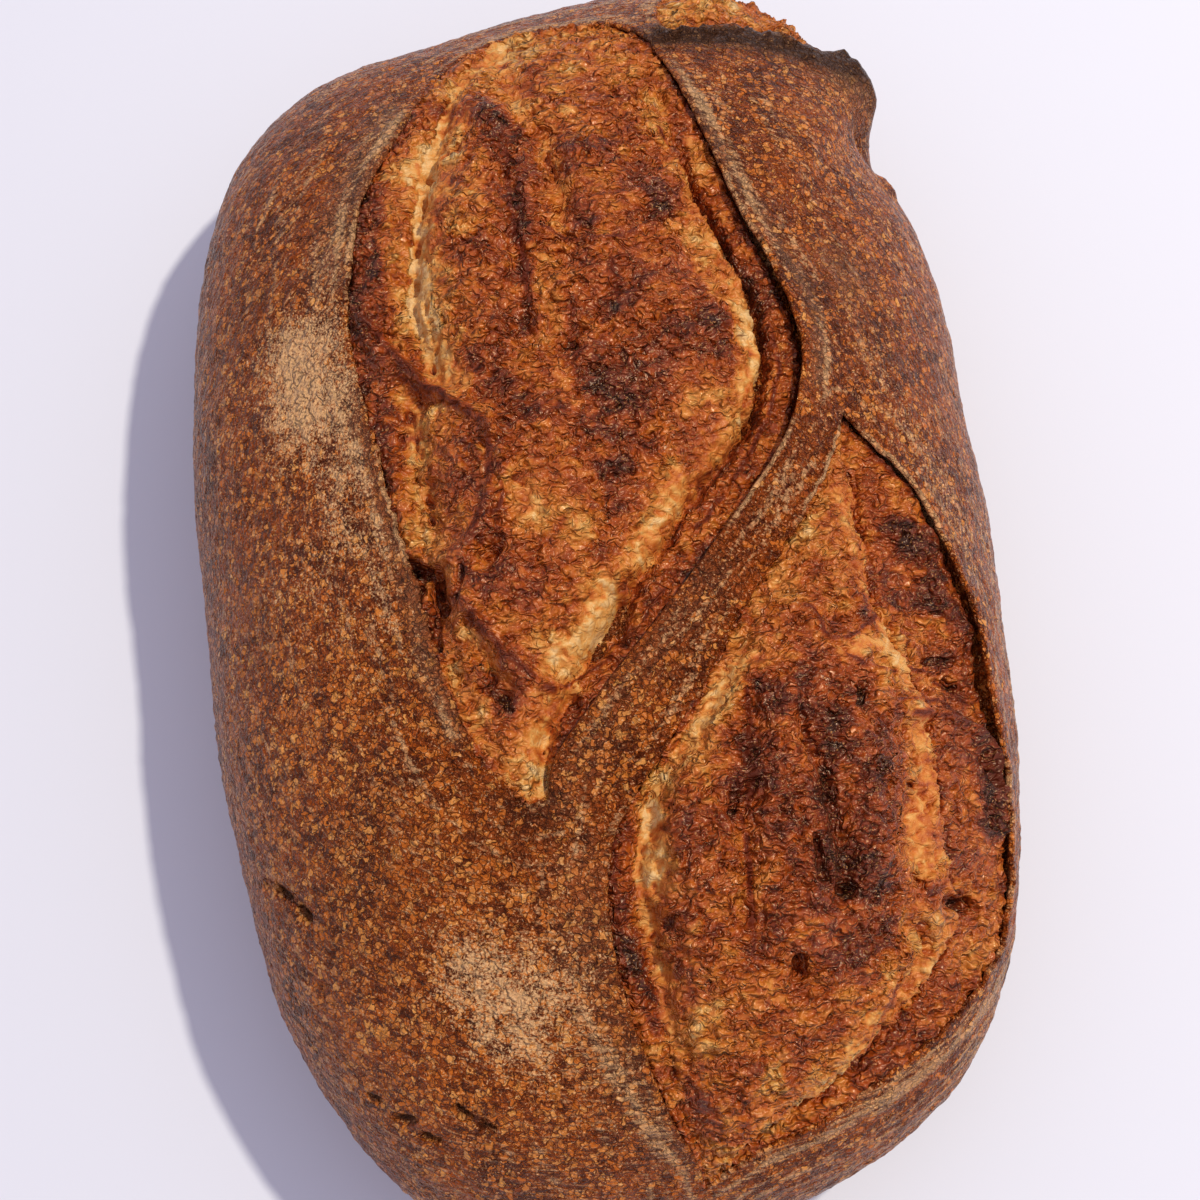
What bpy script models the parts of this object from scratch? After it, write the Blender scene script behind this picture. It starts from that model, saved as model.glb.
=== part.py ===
# Scored oval loaf, one solid
# A floured, dark baked hearth loaf about 29 cm long. Two slanting scores opened in the oven:
# each is a leaf-shaped opening with raised crust lips, filled by a torn, domed bloom.
# Metres, +Z up, long axis along +Y, origin in the middle of the flat underside.

import bpy
import bmesh
import numpy as np
from mathutils import Vector, noise

# Driving sizes, in metres
MM = 0.001
LOAF_LENGTH = 293 * MM
LOAF_WIDTH = 180 * MM
CRUST_TOP = 88 * MM       # height of the crust without lips and blooms
WIDEST_LEVEL = 36 * MM    # height at which the plan is largest
FOOT_SHARE = 0.86         # plan of the flat underside, as a share of the largest plan
MAX_TRIANGLES = 11400

# Shape of the dome over the widest level: a higher power is a flatter top with fuller shoulders
SIDE_POWER = 2.5
END_POWER = 3.3
UNDERCUT_POWER = 2.2

# Resolution of the sheet that is pulled over the loaf before it is thinned
SHEET_ACROSS = 150
SHEET_ALONG = 220

# Largest plan of the loaf in millimetres, anticlockwise from the right side.
# The far right end is squarer than the rest, where the end of the crust tore up.
PLAN = [
    (90, 4), (88.5, 27.5), (87.5, 53.5), (82.5, 78.5), (75, 98), (74.5, 117), (57, 134.5),
    (35, 148), (7, 146), (-24.5, 139), (-51, 131.5), (-69.5, 117.5), (-80.5, 99), (-87, 72.5),
    (-89.5, 40), (-89, 8), (-88.5, -26), (-83.5, -60.5), (-75.5, -95.5), (-56.5, -129),
    (-32, -143.5), (2, -146), (29.5, -141.5), (52, -131), (70.5, -113), (81.5, -88),
    (87, -55), (89, -23.5),
]

# Scores, in millimetres on the unrolled crust.
# A score has a left and a right edge that run from one tip to the other. The rows of pairs give
# a value at shares of its length: rise is the height of the bloom's dome, band the width of the
# stretched strip inside each edge, gap the depth of the crack between that strip and the dome,
# drop how far the strip lies below the crust, and lip how far the crust's edge curls up.
UPPER_SCORE = {
    "left": [(16, 128), (-1, 130), (-13, 128), (-24, 119), (-32, 105), (-39, 91), (-45, 78),
             (-48, 63), (-50, 48), (-49, 34), (-46, 17), (-43, 1), (-40, -13), (-37, -29),
             (-33, -43), (-29, -53), (-22, -62), (-16, -63)],
    "right": [(16, 128), (22, 121), (25, 114), (32, 89), (38, 65), (42, 55), (45, 45), (47, 34),
              (46, 25), (42, 13), (35, 2), (17, -20), (-4, -43), (-14, -55), (-16, -63)],
    "rise": [(0, 0), (0.15, 3), (0.35, 8), (0.6, 9.5), (0.8, 6.5), (1, 0)],
    "left_band": [(0, 1), (0.1, 5), (0.2, 8), (0.25, 9), (0.32, 12.5), (0.44, 13.5), (0.5, 15),
                  (0.54, 15), (0.59, 7.5), (0.69, 5.5), (0.76, 4), (0.85, 1.5), (1, 0.5)],
    "right_band": [(0, 1), (0.15, 5), (0.3, 6), (0.38, 5.3), (0.45, 6), (0.56, 7), (0.66, 9),
                   (0.75, 8.2), (0.85, 6), (0.93, 3.5), (1, 0.5)],
    "left_gap": [(0, 0), (0.12, 1.5), (0.25, 3.5), (0.45, 3.5), (0.55, 1.5), (0.85, 1.5),
                 (1, 0)],
    "right_gap": [(0, 0), (0.2, 1), (0.28, 5), (0.38, 9), (0.5, 8), (0.65, 5), (0.8, 4),
                  (0.9, 3), (1, 0)],
    "left_drop": [(0, 0.6), (1, 0.6)],
    "right_drop": [(0, 1), (0.1, 1.2), (0.3, 1.8), (0.45, 2.6), (0.7, 2.6), (0.9, 1.8), (1, 0.8)],
    "left_lip": [(0, 0), (0.3, 1.2), (0.7, 0.8), (1, 0)],
    "right_lip": [(0, 0), (0.1, 1), (0.3, 1.8), (0.45, 2.6), (0.6, 2.4), (0.85, 1.5), (1, 0)],
}
LOWER_SCORE = {
    "left": [(54, 17), (50, 7), (43, -5), (34, -17), (26, -27), (19, -38), (13, -47), (6, -56),
             (0, -64), (-5, -72), (-7, -82), (-7, -94), (-5, -107), (-2, -119), (2, -132),
             (6, -141), (8, -151)],
    "right": [(54, 17), (60, 11), (68, 3), (74, -6), (79, -18), (83, -29), (85, -52), (87, -66),
              (87, -81), (86, -93), (83, -104), (74, -113), (63, -121), (49, -129), (35, -136),
              (22, -141), (13, -147), (8, -151)],
    "rise": [(0, 0), (0.15, 4), (0.35, 8), (0.55, 10), (0.75, 8), (0.9, 4), (1, 0)],
    "left_band": [(0, 0.8), (0.38, 1), (0.46, 2.6), (0.52, 2.8), (0.56, 4.3), (0.62, 5.8),
                  (0.72, 7), (0.8, 6), (0.9, 3), (1, 0.5)],
    "right_band": [(0, 1), (0.06, 6.5), (0.12, 13), (0.16, 17), (0.2, 20.5), (0.28, 22.5),
                   (0.33, 18.5), (0.4, 17), (0.47, 19.5), (0.54, 18.5), (0.6, 14.5), (0.69, 11),
                   (0.77, 7), (0.88, 4), (1, 0.5)],
    "left_gap": [(0, 0), (0.35, 1), (0.45, 2.5), (0.6, 3), (0.72, 2.5), (0.85, 1), (1, 0)],
    "right_gap": [(0, 0), (0.12, 2), (0.3, 2.5), (0.42, 3.5), (0.75, 3.5), (0.9, 2.5), (1, 0)],
    "left_drop": [(0, 0.8), (0.5, 1), (0.7, 1.5), (1, 0.5)],
    "right_drop": [(0, 1), (0.15, 2.6), (0.4, 2), (0.65, 0.8), (1, 0.5)],
    "left_lip": [(0, 0), (0.4, 0.8), (0.65, 1.6), (0.9, 1.4), (1, 0)],
    "right_lip": [(0, 0), (0.15, 2), (0.35, 1.6), (0.6, 0.6), (1, 0)],
}
# The end of the crust tore up at the far right: the left edge is the free edge of its flap
END_TEAR = {
    "left": [(28, 120), (36, 121), (47, 123), (60, 122), (71, 122), (80, 128)],
    "right": [(28, 120), (27, 132), (35, 145), (51, 153), (70, 147), (80, 128)],
    "rise": [(0, 0), (0.3, 3.5), (0.7, 4), (1, 0)],
    "left_band": [(0, 0.5), (0.5, 2.5), (1, 0.5)],
    "right_band": [(0, 0.5), (0.5, 3), (1, 0.5)],
    "left_gap": [(0, 0), (0.5, 1.5), (1, 0)],
    "right_gap": [(0, 0), (1, 0)],
    "left_drop": [(0, 1), (0.3, 3), (0.8, 3.5), (1, 2)],
    "right_drop": [(0, 0.4), (1, 0.4)],
    "left_lip": [(0, 0), (0.3, 2), (0.8, 4), (1, 3.5)],
    "right_lip": [(0, 0), (1, 0)],
}

# Folds, valleys and pits of the torn skin: points, half width and height in millimetres
UPPER_FOLDS = [
    ([(-21, 103), (-16, 97), (-12, 93)], 4.0, 2.6),
    ([(2, 79), (7, 82)], 4.0, 2.2),
    ([(18, 67), (22, 71)], 3.6, 2.4),
    ([(-18, 81), (-21, 64), (-22, 48), (-21, 35)], 6.5, 1.8),
    ([(-13, 83), (-12, 63), (-12, 46), (-11, 35)], 2.6, -2.4),
    ([(-4, 87), (-3, 70), (-2, 53)], 3.2, -2.6),
    ([(7, 70), (11, 53), (23, 37)], 8.0, 1.8),
    ([(18, 65), (9, 47), (-4, 32)], 3.0, -2.0),
    ([(-46, 47), (-44, 39), (-40, 35), (-30, 26), (-23, 20), (-20, 14)], 2.2, 3.0),
    ([(-20, 14), (-19, 6), (-23, -3), (-27, -9), (-35, -10), (-41, -8)], 2.6, 2.2),
    ([(-37, 27), (-35, 13), (-33, -1)], 5.0, -1.6),
    ([(-18, 19), (3, 25), (32, 36)], 6.0, -1.4),
    ([(-11, 11), (-8, -2), (-3, -11)], 8.0, 1.6),
    ([(-40, -10), (-39, -16)], 1.8, -3.0),
    ([(-35, -14), (-34, -22)], 2.0, -2.6),
    ([(-24, -12), (-22, -10)], 2.6, -2.6),
    ([(-31, -18), (-25, -29), (-19, -37), (-14, -41), (-9, -40)], 2.4, 1.8),
    ([(-29, -26), (-25, -33), (-23, -41)], 2.2, -2.4),
    ([(1, -22), (1, -27), (-3, -32)], 3.4, -3.0),
    ([(-14, -37), (-11, -35)], 2.4, -1.8),
    ([(-16, -47), (-16, -59)], 1.8, -2.6),
    ([(-11, -43), (-10, -46)], 1.8, -2.4),
    ([(-11, 118), (-9, 102), (-8, 89)], 3.6, -1.6),
]
LOWER_FOLDS = [
    ([(16, -49), (11, -66), (10, -82), (12, -97)], 5.5, 1.8),
    ([(33, -48), (30, -64), (29, -80), (30, -93)], 6.0, 2.0),
    ([(47, -55), (46, -69), (46, -81)], 4.5, 2.2),
    ([(26, -48), (24, -59), (22, -73), (19, -90)], 2.2, -2.8),
    ([(35, -52), (37, -64), (39, -75), (40, -86)], 2.0, -3.4),
    ([(29, -99), (29, -102)], 1.8, -3.0),
    ([(19, -64), (25, -62)], 2.0, 2.2),
    ([(27, -40), (36, -39), (46, -38)], 4.0, 1.6),
    ([(68, -6), (71, -11), (74, -17), (78, -25), (79, -29)], 4.0, 2.4),
    ([(49, -38), (55, -37), (62, -39)], 3.0, 1.4),
    ([(74, -42), (78, -45)], 2.2, -2.4),
    ([(52, -49), (61, -50), (76, -52), (83, -57), (86, -65), (87, -77)], 2.4, 2.4),
    ([(57, -55), (59, -63), (56, -72), (56, -88)], 4.5, -1.8),
    ([(71, -92), (74, -94)], 2.4, -3.0),
    ([(54, -95), (57, -104), (51, -114), (41, -126)], 2.2, -2.6),
    ([(8, -45), (5, -54), (3, -65), (3, -87), (3, -98)], 3.0, -1.6),
    ([(38, -128), (29, -132), (21, -137), (13, -146)], 1.8, -2.0),
    ([(73, -106), (71, -113)], 1.8, -2.0),
]

# The flap's lifted corner, the notch and the nick beside it, and a crack in the left side
CRUST_FOLDS = [
    ([(70, 119), (76, 117), (79, 111)], 5.0, 1.5),
    ([(75, 118), (79, 115)], 3.2, 2.4),
    ([(80, 102), (88, 99)], 3.8, -3.4),
    ([(83, 93), (85, 91)], 2.0, 1.4),
    ([(-72, -75), (-67, -79), (-63, -87)], 1.8, -1.4),
]

# Each opening with the folds of its bloom
OPENINGS = [(UPPER_SCORE, UPPER_FOLDS), (LOWER_SCORE, LOWER_FOLDS), (END_TEAR, [])]

# Slow swells of the crust
SWELL_SIZE = 42 * MM
SWELL_HEIGHT = 1.1 * MM
BLISTER_SIZE = 9 * MM
BLISTER_HEIGHT = 0.35 * MM
ROOT_LEVEL = 20 * MM      # relief fades out below this height, towards the flat underside

# How fast a raised lip falls away from its edge, and how wide the cracks are, in millimetres
LIP_REACH = 9.0
LEFT_CRACK = 2.2
RIGHT_CRACK = 1.8
BAND_SLOPE = 0.18
SLOPE_REACH = 10.0
BAND_CROWN = 0.9
DOME_POWER = 0.6
EDGE_WIDTH = 0.01

CRUST_COLOUR = (0.29, 0.105, 0.032, 1.0)
CRUST_ROUGHNESS = 0.55


# Lines through hand-chosen points

def smooth_line(points, steps=8, closed=False):
    """Points along a smooth line that passes through the given ones."""
    given = np.asarray(points, float)
    if len(given) < 3:
        return given
    if closed:
        four = [np.roll(given, turn, axis=0) for turn in (1, 0, -1, -2)]
    else:
        ends = np.vstack([2 * given[0] - given[1], given, 2 * given[-1] - given[-2]])
        four = [ends[:-3], ends[1:-2], ends[2:-1], ends[3:]]
    before, start, end, after = (side[:, None, :] for side in four)
    t = np.linspace(0, 1, steps, endpoint=False)[None, :, None]
    line = 0.5 * (2 * start + (end - before) * t
                  + (2 * before - 5 * start + 4 * end - after) * t ** 2
                  + (3 * start - before - 3 * end + after) * t ** 3).reshape(-1, 2)
    return line if closed else np.vstack([line, given[-1]])


def distance_to(line, places):
    """Shortest distance from each place to a line."""
    nearest = np.full(len(places), np.inf)
    for start, end in zip(line[:-1], line[1:]):
        run = end - start
        share = np.clip(((places - start) @ run) / max(run @ run, 1e-12), 0, 1)
        nearest = np.minimum(nearest, np.hypot(*(places - start - share[:, None] * run).T))
    return nearest


def is_inside(ring, places):
    """Which places lie inside a closed ring."""
    x, y = places.T
    crossings = np.zeros(len(places), int)
    for (x0, y0), (x1, y1) in zip(ring, np.roll(ring, -1, axis=0)):
        spans = (y0 > y) != (y1 > y)
        rise = y1 - y0 if y1 != y0 else 1.0
        crossings += spans & (x < x0 + (y - y0) * (x1 - x0) / rise)
    return crossings % 2 == 1


def at_share(pairs, share):
    """Value of a row of (share, value) pairs at each share."""
    shares, values = zip(*pairs)
    return np.interp(share, shares, values)


# The plain loaf

def fitted_plan():
    """The plan as a smooth ring, centred and scaled to the loaf's width and length."""
    ring = smooth_line(PLAN, 12, closed=True) * MM
    low, high = ring.min(axis=0), ring.max(axis=0)
    return (ring - (low + high) / 2) * (LOAF_WIDTH, LOAF_LENGTH) / (high - low)


RING = fitted_plan()
RING_ANGLES = np.unwrap(np.arctan2(RING[:, 1], RING[:, 0]))
RING_RADII = np.hypot(RING[:, 0], RING[:, 1])


def plan_radius(angle):
    """Distance from the middle to the plan's edge in each direction."""
    turned = np.mod(angle - RING_ANGLES[0], 2 * np.pi) + RING_ANGLES[0]
    angles = np.append(RING_ANGLES, RING_ANGLES[0] + 2 * np.pi)
    return np.interp(turned, angles, np.append(RING_RADII, RING_RADII[0]))


def section_table(samples=400):
    """Length along the loaf's skin from top to foot, with the plan share and depth reached."""
    mean_radius = (LOAF_WIDTH + LOAF_LENGTH) / 4
    top_share = np.sin(np.linspace(0, np.pi / 2, samples))
    middle_power = (SIDE_POWER + END_POWER) / 2
    top_height = (CRUST_TOP - WIDEST_LEVEL) * np.sqrt(1 - top_share ** middle_power)
    depth = np.linspace(0, 1, samples)[1:]
    share = np.append(top_share, 1 - (1 - FOOT_SHARE) * depth ** UNDERCUT_POWER)
    height = np.append(top_height, -WIDEST_LEVEL * depth)
    steps = np.hypot(np.diff(share) * mean_radius, np.diff(height))
    length = np.append(0, np.cumsum(steps)) / mean_radius
    return length, share, np.append(np.zeros(samples), depth), length[samples - 1]


SKIN_LENGTH, SKIN_SHARE, SKIN_DEPTH, WIDEST_LENGTH = section_table()


def loaf_point(flat):
    """Place on the plain loaf of each point of its unrolled crust."""
    angle = np.arctan2(flat[:, 1], flat[:, 0])
    radius = plan_radius(angle)
    length = np.hypot(flat[:, 0], flat[:, 1]) / radius
    share = np.interp(length, SKIN_LENGTH, SKIN_SHARE)
    power = SIDE_POWER + (END_POWER - SIDE_POWER) * np.sin(angle) ** 2
    dome = (CRUST_TOP - WIDEST_LEVEL) * np.sqrt(np.clip(1 - share ** power, 0, 1))
    below = WIDEST_LEVEL * np.interp(length, SKIN_LENGTH, SKIN_DEPTH)
    height = WIDEST_LEVEL + np.where(length < WIDEST_LENGTH, dome, -below)
    reach = share * radius
    return np.column_stack([reach * np.cos(angle), reach * np.sin(angle), height])


def loaf_normal(flat, step=0.5 * MM):
    """Outward direction of the plain loaf at each point of its unrolled crust."""
    across = loaf_point(flat + (step, 0)) - loaf_point(flat - (step, 0))
    along = loaf_point(flat + (0, step)) - loaf_point(flat - (0, step))
    normal = np.cross(across, along)
    return normal / np.linalg.norm(normal, axis=1)[:, None]


# Relief of the scores

def fold_relief(folds, places):
    """Sum of rounded ridges and valleys along short lines."""
    relief = np.zeros(len(places))
    for points, half_width, height in folds:
        away = distance_to(smooth_line(points), places)
        relief += height * np.exp(-(away / half_width) ** 2)
    return relief


def opening_ring(opening):
    """The closed edge of one opening."""
    left, right = smooth_line(opening["left"]), smooth_line(opening["right"])
    return np.vstack([left, right[-2:0:-1]])


def opening_relief(opening, folds, places):
    """Which places lie in an opening, the bloom's height there, and the lips' height around."""
    left, right = smooth_line(opening["left"]), smooth_line(opening["right"])
    from_left, from_right = distance_to(left, places), distance_to(right, places)
    inside = is_inside(opening_ring(opening), places)
    inside &= np.minimum(from_left, from_right) > EDGE_WIDTH
    tip, end = left[0], left[-1]
    share = np.clip((places - tip) @ (end - tip) / ((end - tip) @ (end - tip)), 0, 1)
    value = {name: at_share(pairs, share) for name, pairs in opening.items()
             if name not in ("left", "right")}

    past_left = from_left - value["left_band"]
    past_right = from_right - value["right_band"]
    across = np.clip(past_left, 0, None)
    across /= np.maximum(across + np.clip(past_right, 0, None), 1e-6)
    crown = np.sin(np.pi * np.clip(from_left / value["left_band"], 0, 1))
    left_strip = BAND_CROWN * crown - value["left_drop"]
    slope = BAND_SLOPE * np.minimum(np.minimum(from_right, value["right_band"]), SLOPE_REACH)
    right_strip = -value["right_drop"] - slope
    floor = -value["left_drop"] * (1 - across) + right_strip * across
    dome = value["rise"] * np.sin(np.pi * across) ** DOME_POWER
    bloom = np.where(past_left < 0, left_strip, floor + dome)
    bloom = np.where(past_right < 0, right_strip, bloom)
    left_crack = np.exp(-(past_left / LEFT_CRACK - 1) ** 2) * (past_right > 0)
    right_crack = np.exp(-(past_right / RIGHT_CRACK - 1) ** 2) * (past_left > 0)
    bloom -= value["left_gap"] * left_crack + value["right_gap"] * right_crack
    bloom += fold_relief(folds, places)

    lips = np.where(from_right < from_left,
                    value["right_lip"] * np.exp(-from_right / LIP_REACH),
                    value["left_lip"] * np.exp(-from_left / LIP_REACH))
    return inside, bloom, lips


def crust_swell(place):
    """Slow swells and small blisters of the crust at one place of the loaf."""
    swell = noise.noise(Vector(place) / SWELL_SIZE) * SWELL_HEIGHT
    return swell + noise.noise(Vector(place) / BLISTER_SIZE) * BLISTER_HEIGHT


def whole_relief(flat, plain):
    """Height of the finished surface over the plain loaf."""
    places = flat / MM
    relief = fold_relief(CRUST_FOLDS, places)
    for opening, folds in OPENINGS:
        inside, bloom, lips = opening_relief(opening, folds, places)
        relief = np.where(inside, bloom, relief + lips)
    swell = np.array([crust_swell(place) for place in plain])
    rooted = np.clip(plain[:, 2] / ROOT_LEVEL, 0, 1)
    return (relief * MM + swell) * rooted


# The sheet that is pulled over the loaf

def unrolled_places(square):
    """Spread a flat square over the unrolled crust, out to the foot."""
    u, v = square[:, 0], square[:, 1]
    disc = np.column_stack([u * np.sqrt(1 - v ** 2 / 2), v * np.sqrt(1 - u ** 2 / 2)])
    stretched = disc * (LOAF_WIDTH, LOAF_LENGTH)
    angle = np.arctan2(stretched[:, 1], stretched[:, 0])
    length = np.hypot(disc[:, 0], disc[:, 1]) * SKIN_LENGTH[-1] * plan_radius(angle)
    return np.column_stack([length * np.cos(angle), length * np.sin(angle)])


def moved_onto(ring, places):
    """The nearest point of a closed ring to each place."""
    nearest = np.full(len(places), np.inf)
    moved = places.copy()
    for start, end in zip(ring, np.roll(ring, -1, axis=0)):
        run = end - start
        share = np.clip(((places - start) @ run) / (run @ run), 0, 1)
        foot = start + share[:, None] * run
        away = np.hypot(*(places - foot).T)
        moved[away < nearest] = foot[away < nearest]
        nearest = np.minimum(nearest, away)
    return moved


def follow_edge(sheet, flat, ring):
    """Make the sheet's own edges run along a closed ring.

    Of each edge that crosses the ring, the nearer end moves onto it. A face that then has two
    opposite corners on the ring is split from one to the other.
    """
    depth = distance_to(np.vstack([ring, ring[:1]]), flat)
    depth[~is_inside(ring, flat)] *= -1
    pairs = np.array([[vert.index for vert in edge.verts] for edge in sheet.edges])
    first, second = pairs[depth[pairs[:, 0]] * depth[pairs[:, 1]] < 0].T
    nearer = np.unique(np.where(abs(depth[first]) < abs(depth[second]), first, second))
    flat[nearer] = moved_onto(ring, flat[nearer])
    depth[nearer] = 0
    for face in list(sheet.faces):
        corners = face.verts[:]
        signs = [np.sign(depth[corner.index]) for corner in corners]
        if len(corners) == 4 and signs[0] == signs[2] == 0 and signs[1] * signs[3] < 0:
            bmesh.utils.face_split(face, corners[0], corners[2])
        elif len(corners) == 4 and signs[1] == signs[3] == 0 and signs[0] * signs[2] < 0:
            bmesh.utils.face_split(face, corners[1], corners[3])


def loaf_mesh():
    """The whole skin of the loaf, closed by its flat underside."""
    sheet = bmesh.new()
    bmesh.ops.create_grid(sheet, x_segments=SHEET_ACROSS, y_segments=SHEET_ALONG, size=1.0)
    sheet.verts.index_update()
    flat = unrolled_places(np.array([vert.co[:2] for vert in sheet.verts]))
    for opening, _ in OPENINGS:
        follow_edge(sheet, flat, opening_ring(opening) * MM)
    plain = loaf_point(flat)
    finished = plain + loaf_normal(flat) * whole_relief(flat, plain)[:, None]
    for vert, place in zip(sheet.verts, finished):
        vert.co = place
    rim = [edge for edge in sheet.edges if edge.is_boundary]
    for vert in {vert for edge in rim for vert in edge.verts}:
        vert.co.z = 0.0
    bmesh.ops.holes_fill(sheet, edges=rim, sides=0)
    bmesh.ops.recalc_face_normals(sheet, faces=sheet.faces)
    mesh = bpy.data.meshes.new("loaf")
    sheet.to_mesh(mesh)
    sheet.free()
    return mesh


def crust_material():
    """Dark baked crust."""
    material = bpy.data.materials.new("crust")
    material.use_nodes = True
    shader = material.node_tree.nodes["Principled BSDF"]
    shader.inputs["Base Color"].default_value = CRUST_COLOUR
    shader.inputs["Roughness"].default_value = CRUST_ROUGHNESS
    shader.inputs["Metallic"].default_value = 0.0
    return material


def thin_out(loaf):
    """Keep the triangles where the surface bends and merge them where it is smooth."""
    triangles = sum(len(face.vertices) - 2 for face in loaf.data.polygons)
    thinner = loaf.modifiers.new("thin out", 'DECIMATE')
    thinner.decimate_type = 'COLLAPSE'
    thinner.ratio = MAX_TRIANGLES / triangles
    thinner.use_collapse_triangulate = True


def build():
    for old in list(bpy.data.objects):
        bpy.data.objects.remove(old, do_unlink=True)
    collection = bpy.data.collections.new("bread_loaf")
    bpy.context.scene.collection.children.link(collection)
    mesh = loaf_mesh()
    mesh.shade_smooth()
    mesh.materials.append(crust_material())
    loaf = bpy.data.objects.new("loaf", mesh)
    collection.objects.link(loaf)
    thin_out(loaf)
    print("loaf height", round(max(vert.co.z for vert in mesh.vertices) / MM, 1), "mm")


build()
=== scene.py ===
# %% [markdown]
# # A scored hearth loaf
# The part is one oval loaf of bread with a flat underside. Two slanting scores opened in the
# oven. Each is a leaf-shaped opening with a raised edge of crust, and inside it the dough swelled
# up into a torn, domed bloom. At the far right end the crust tore up by itself into a burnt flap.
#
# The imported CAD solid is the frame: it has the true size and the large forms. Here the same loaf
# is made again with a much finer skin, in two kinds of piece: one crust, and one bloom for each
# opening. They could be sculpted by hand, but a sculpted mesh can't be read or changed by number,
# so each form comes from named lines and values.

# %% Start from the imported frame
import math
import bmesh
import bpy
import numpy as np
from mathutils import Matrix, Vector, noise


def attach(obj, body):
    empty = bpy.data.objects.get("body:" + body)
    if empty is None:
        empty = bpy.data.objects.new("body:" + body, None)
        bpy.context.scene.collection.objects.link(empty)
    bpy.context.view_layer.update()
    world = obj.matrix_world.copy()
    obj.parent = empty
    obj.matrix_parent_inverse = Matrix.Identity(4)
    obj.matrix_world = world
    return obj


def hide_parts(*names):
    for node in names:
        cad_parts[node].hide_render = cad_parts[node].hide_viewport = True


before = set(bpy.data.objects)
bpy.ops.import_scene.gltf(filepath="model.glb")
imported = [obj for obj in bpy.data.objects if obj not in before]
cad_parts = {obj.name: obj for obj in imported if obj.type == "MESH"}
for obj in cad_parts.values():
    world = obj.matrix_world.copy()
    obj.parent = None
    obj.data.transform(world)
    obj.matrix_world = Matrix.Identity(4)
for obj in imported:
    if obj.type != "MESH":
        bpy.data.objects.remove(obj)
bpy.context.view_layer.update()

MM = 0.001
print("frame nodes:", sorted(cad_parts))

# %% [markdown]
# ## The plain loaf
# Without its scores the loaf is a soft dome on a flat foot. Its plan is an oval that was measured
# round the widest level, and each side section is a superellipse: full shoulders, flatter top.
#
# The skin is handled unrolled. A point of the unrolled skin has a direction from the middle of
# the loaf and a length along the skin, so scores can be drawn on it as on a flat sheet, in
# millimetres, and still lie right on the curved loaf.

# %% Sizes of the plain loaf, in millimetres
LOAF_LENGTH = 293
LOAF_WIDTH = 180
CRUST_TOP = 88
WIDEST_LEVEL = 36
FOOT_SHARE = 0.86
SIDE_POWER = 2.5
END_POWER = 3.3
UNDERCUT_POWER = 2.2

PLAN = [
    (90, 4), (88.5, 27.5), (87.5, 53.5), (82.5, 78.5), (75, 98), (74.5, 117), (57, 134.5),
    (35, 148), (7, 146), (-24.5, 139), (-51, 131.5), (-69.5, 117.5), (-80.5, 99), (-87, 72.5),
    (-89.5, 40), (-89, 8), (-88.5, -26), (-83.5, -60.5), (-75.5, -95.5), (-56.5, -129),
    (-32, -143.5), (2, -146), (29.5, -141.5), (52, -131), (70.5, -113), (81.5, -88),
    (87, -55), (89, -23.5),
]


# %% Smooth lines through chosen points
def smooth_line(points, steps=8, closed=False):
    """Points along a smooth line that passes through the given ones."""
    given = np.asarray(points, float)
    if len(given) < 3:
        return given
    if closed:
        four = [np.roll(given, turn, axis=0) for turn in (1, 0, -1, -2)]
    else:
        ends = np.vstack([2 * given[0] - given[1], given, 2 * given[-1] - given[-2]])
        four = [ends[:-3], ends[1:-2], ends[2:-1], ends[3:]]
    before, start, end, after = (side[:, None, :] for side in four)
    t = np.linspace(0, 1, steps, endpoint=False)[None, :, None]
    line = 0.5 * (2 * start + (end - before) * t
                  + (2 * before - 5 * start + 4 * end - after) * t ** 2
                  + (3 * start - before - 3 * end + after) * t ** 3).reshape(-1, 2)
    return line if closed else np.vstack([line, given[-1]])


# %% The plan as a ring
def fitted_plan():
    """The plan as a smooth ring, centred and scaled to the loaf's width and length."""
    ring = smooth_line(PLAN, 12, closed=True)
    low, high = ring.min(axis=0), ring.max(axis=0)
    return (ring - (low + high) / 2) * (LOAF_WIDTH, LOAF_LENGTH) / (high - low)


RING = fitted_plan()
RING_ANGLES = np.unwrap(np.arctan2(RING[:, 1], RING[:, 0]))
RING_RADII = np.hypot(RING[:, 0], RING[:, 1])


def plan_radius(angle):
    """Distance from the middle to the plan's edge in each direction."""
    turned = np.mod(angle - RING_ANGLES[0], 2 * np.pi) + RING_ANGLES[0]
    angles = np.append(RING_ANGLES, RING_ANGLES[0] + 2 * np.pi)
    return np.interp(turned, angles, np.append(RING_RADII, RING_RADII[0]))


print("plan radius to the right and to the far end:",
      plan_radius(np.array([0, np.pi / 2])).round(1), "mm")


# %% The side section, from top to foot
def section_table(samples=400):
    """Length along the loaf's skin from top to foot, with the plan share and depth reached."""
    mean_radius = (LOAF_WIDTH + LOAF_LENGTH) / 4
    top_share = np.sin(np.linspace(0, np.pi / 2, samples))
    middle_power = (SIDE_POWER + END_POWER) / 2
    top_height = (CRUST_TOP - WIDEST_LEVEL) * np.sqrt(1 - top_share ** middle_power)
    depth = np.linspace(0, 1, samples)[1:]
    share = np.append(top_share, 1 - (1 - FOOT_SHARE) * depth ** UNDERCUT_POWER)
    height = np.append(top_height, -WIDEST_LEVEL * depth)
    steps = np.hypot(np.diff(share) * mean_radius, np.diff(height))
    length = np.append(0, np.cumsum(steps)) / mean_radius
    return length, share, np.append(np.zeros(samples), depth), length[samples - 1]


SKIN_LENGTH, SKIN_SHARE, SKIN_DEPTH, WIDEST_LENGTH = section_table()


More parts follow.
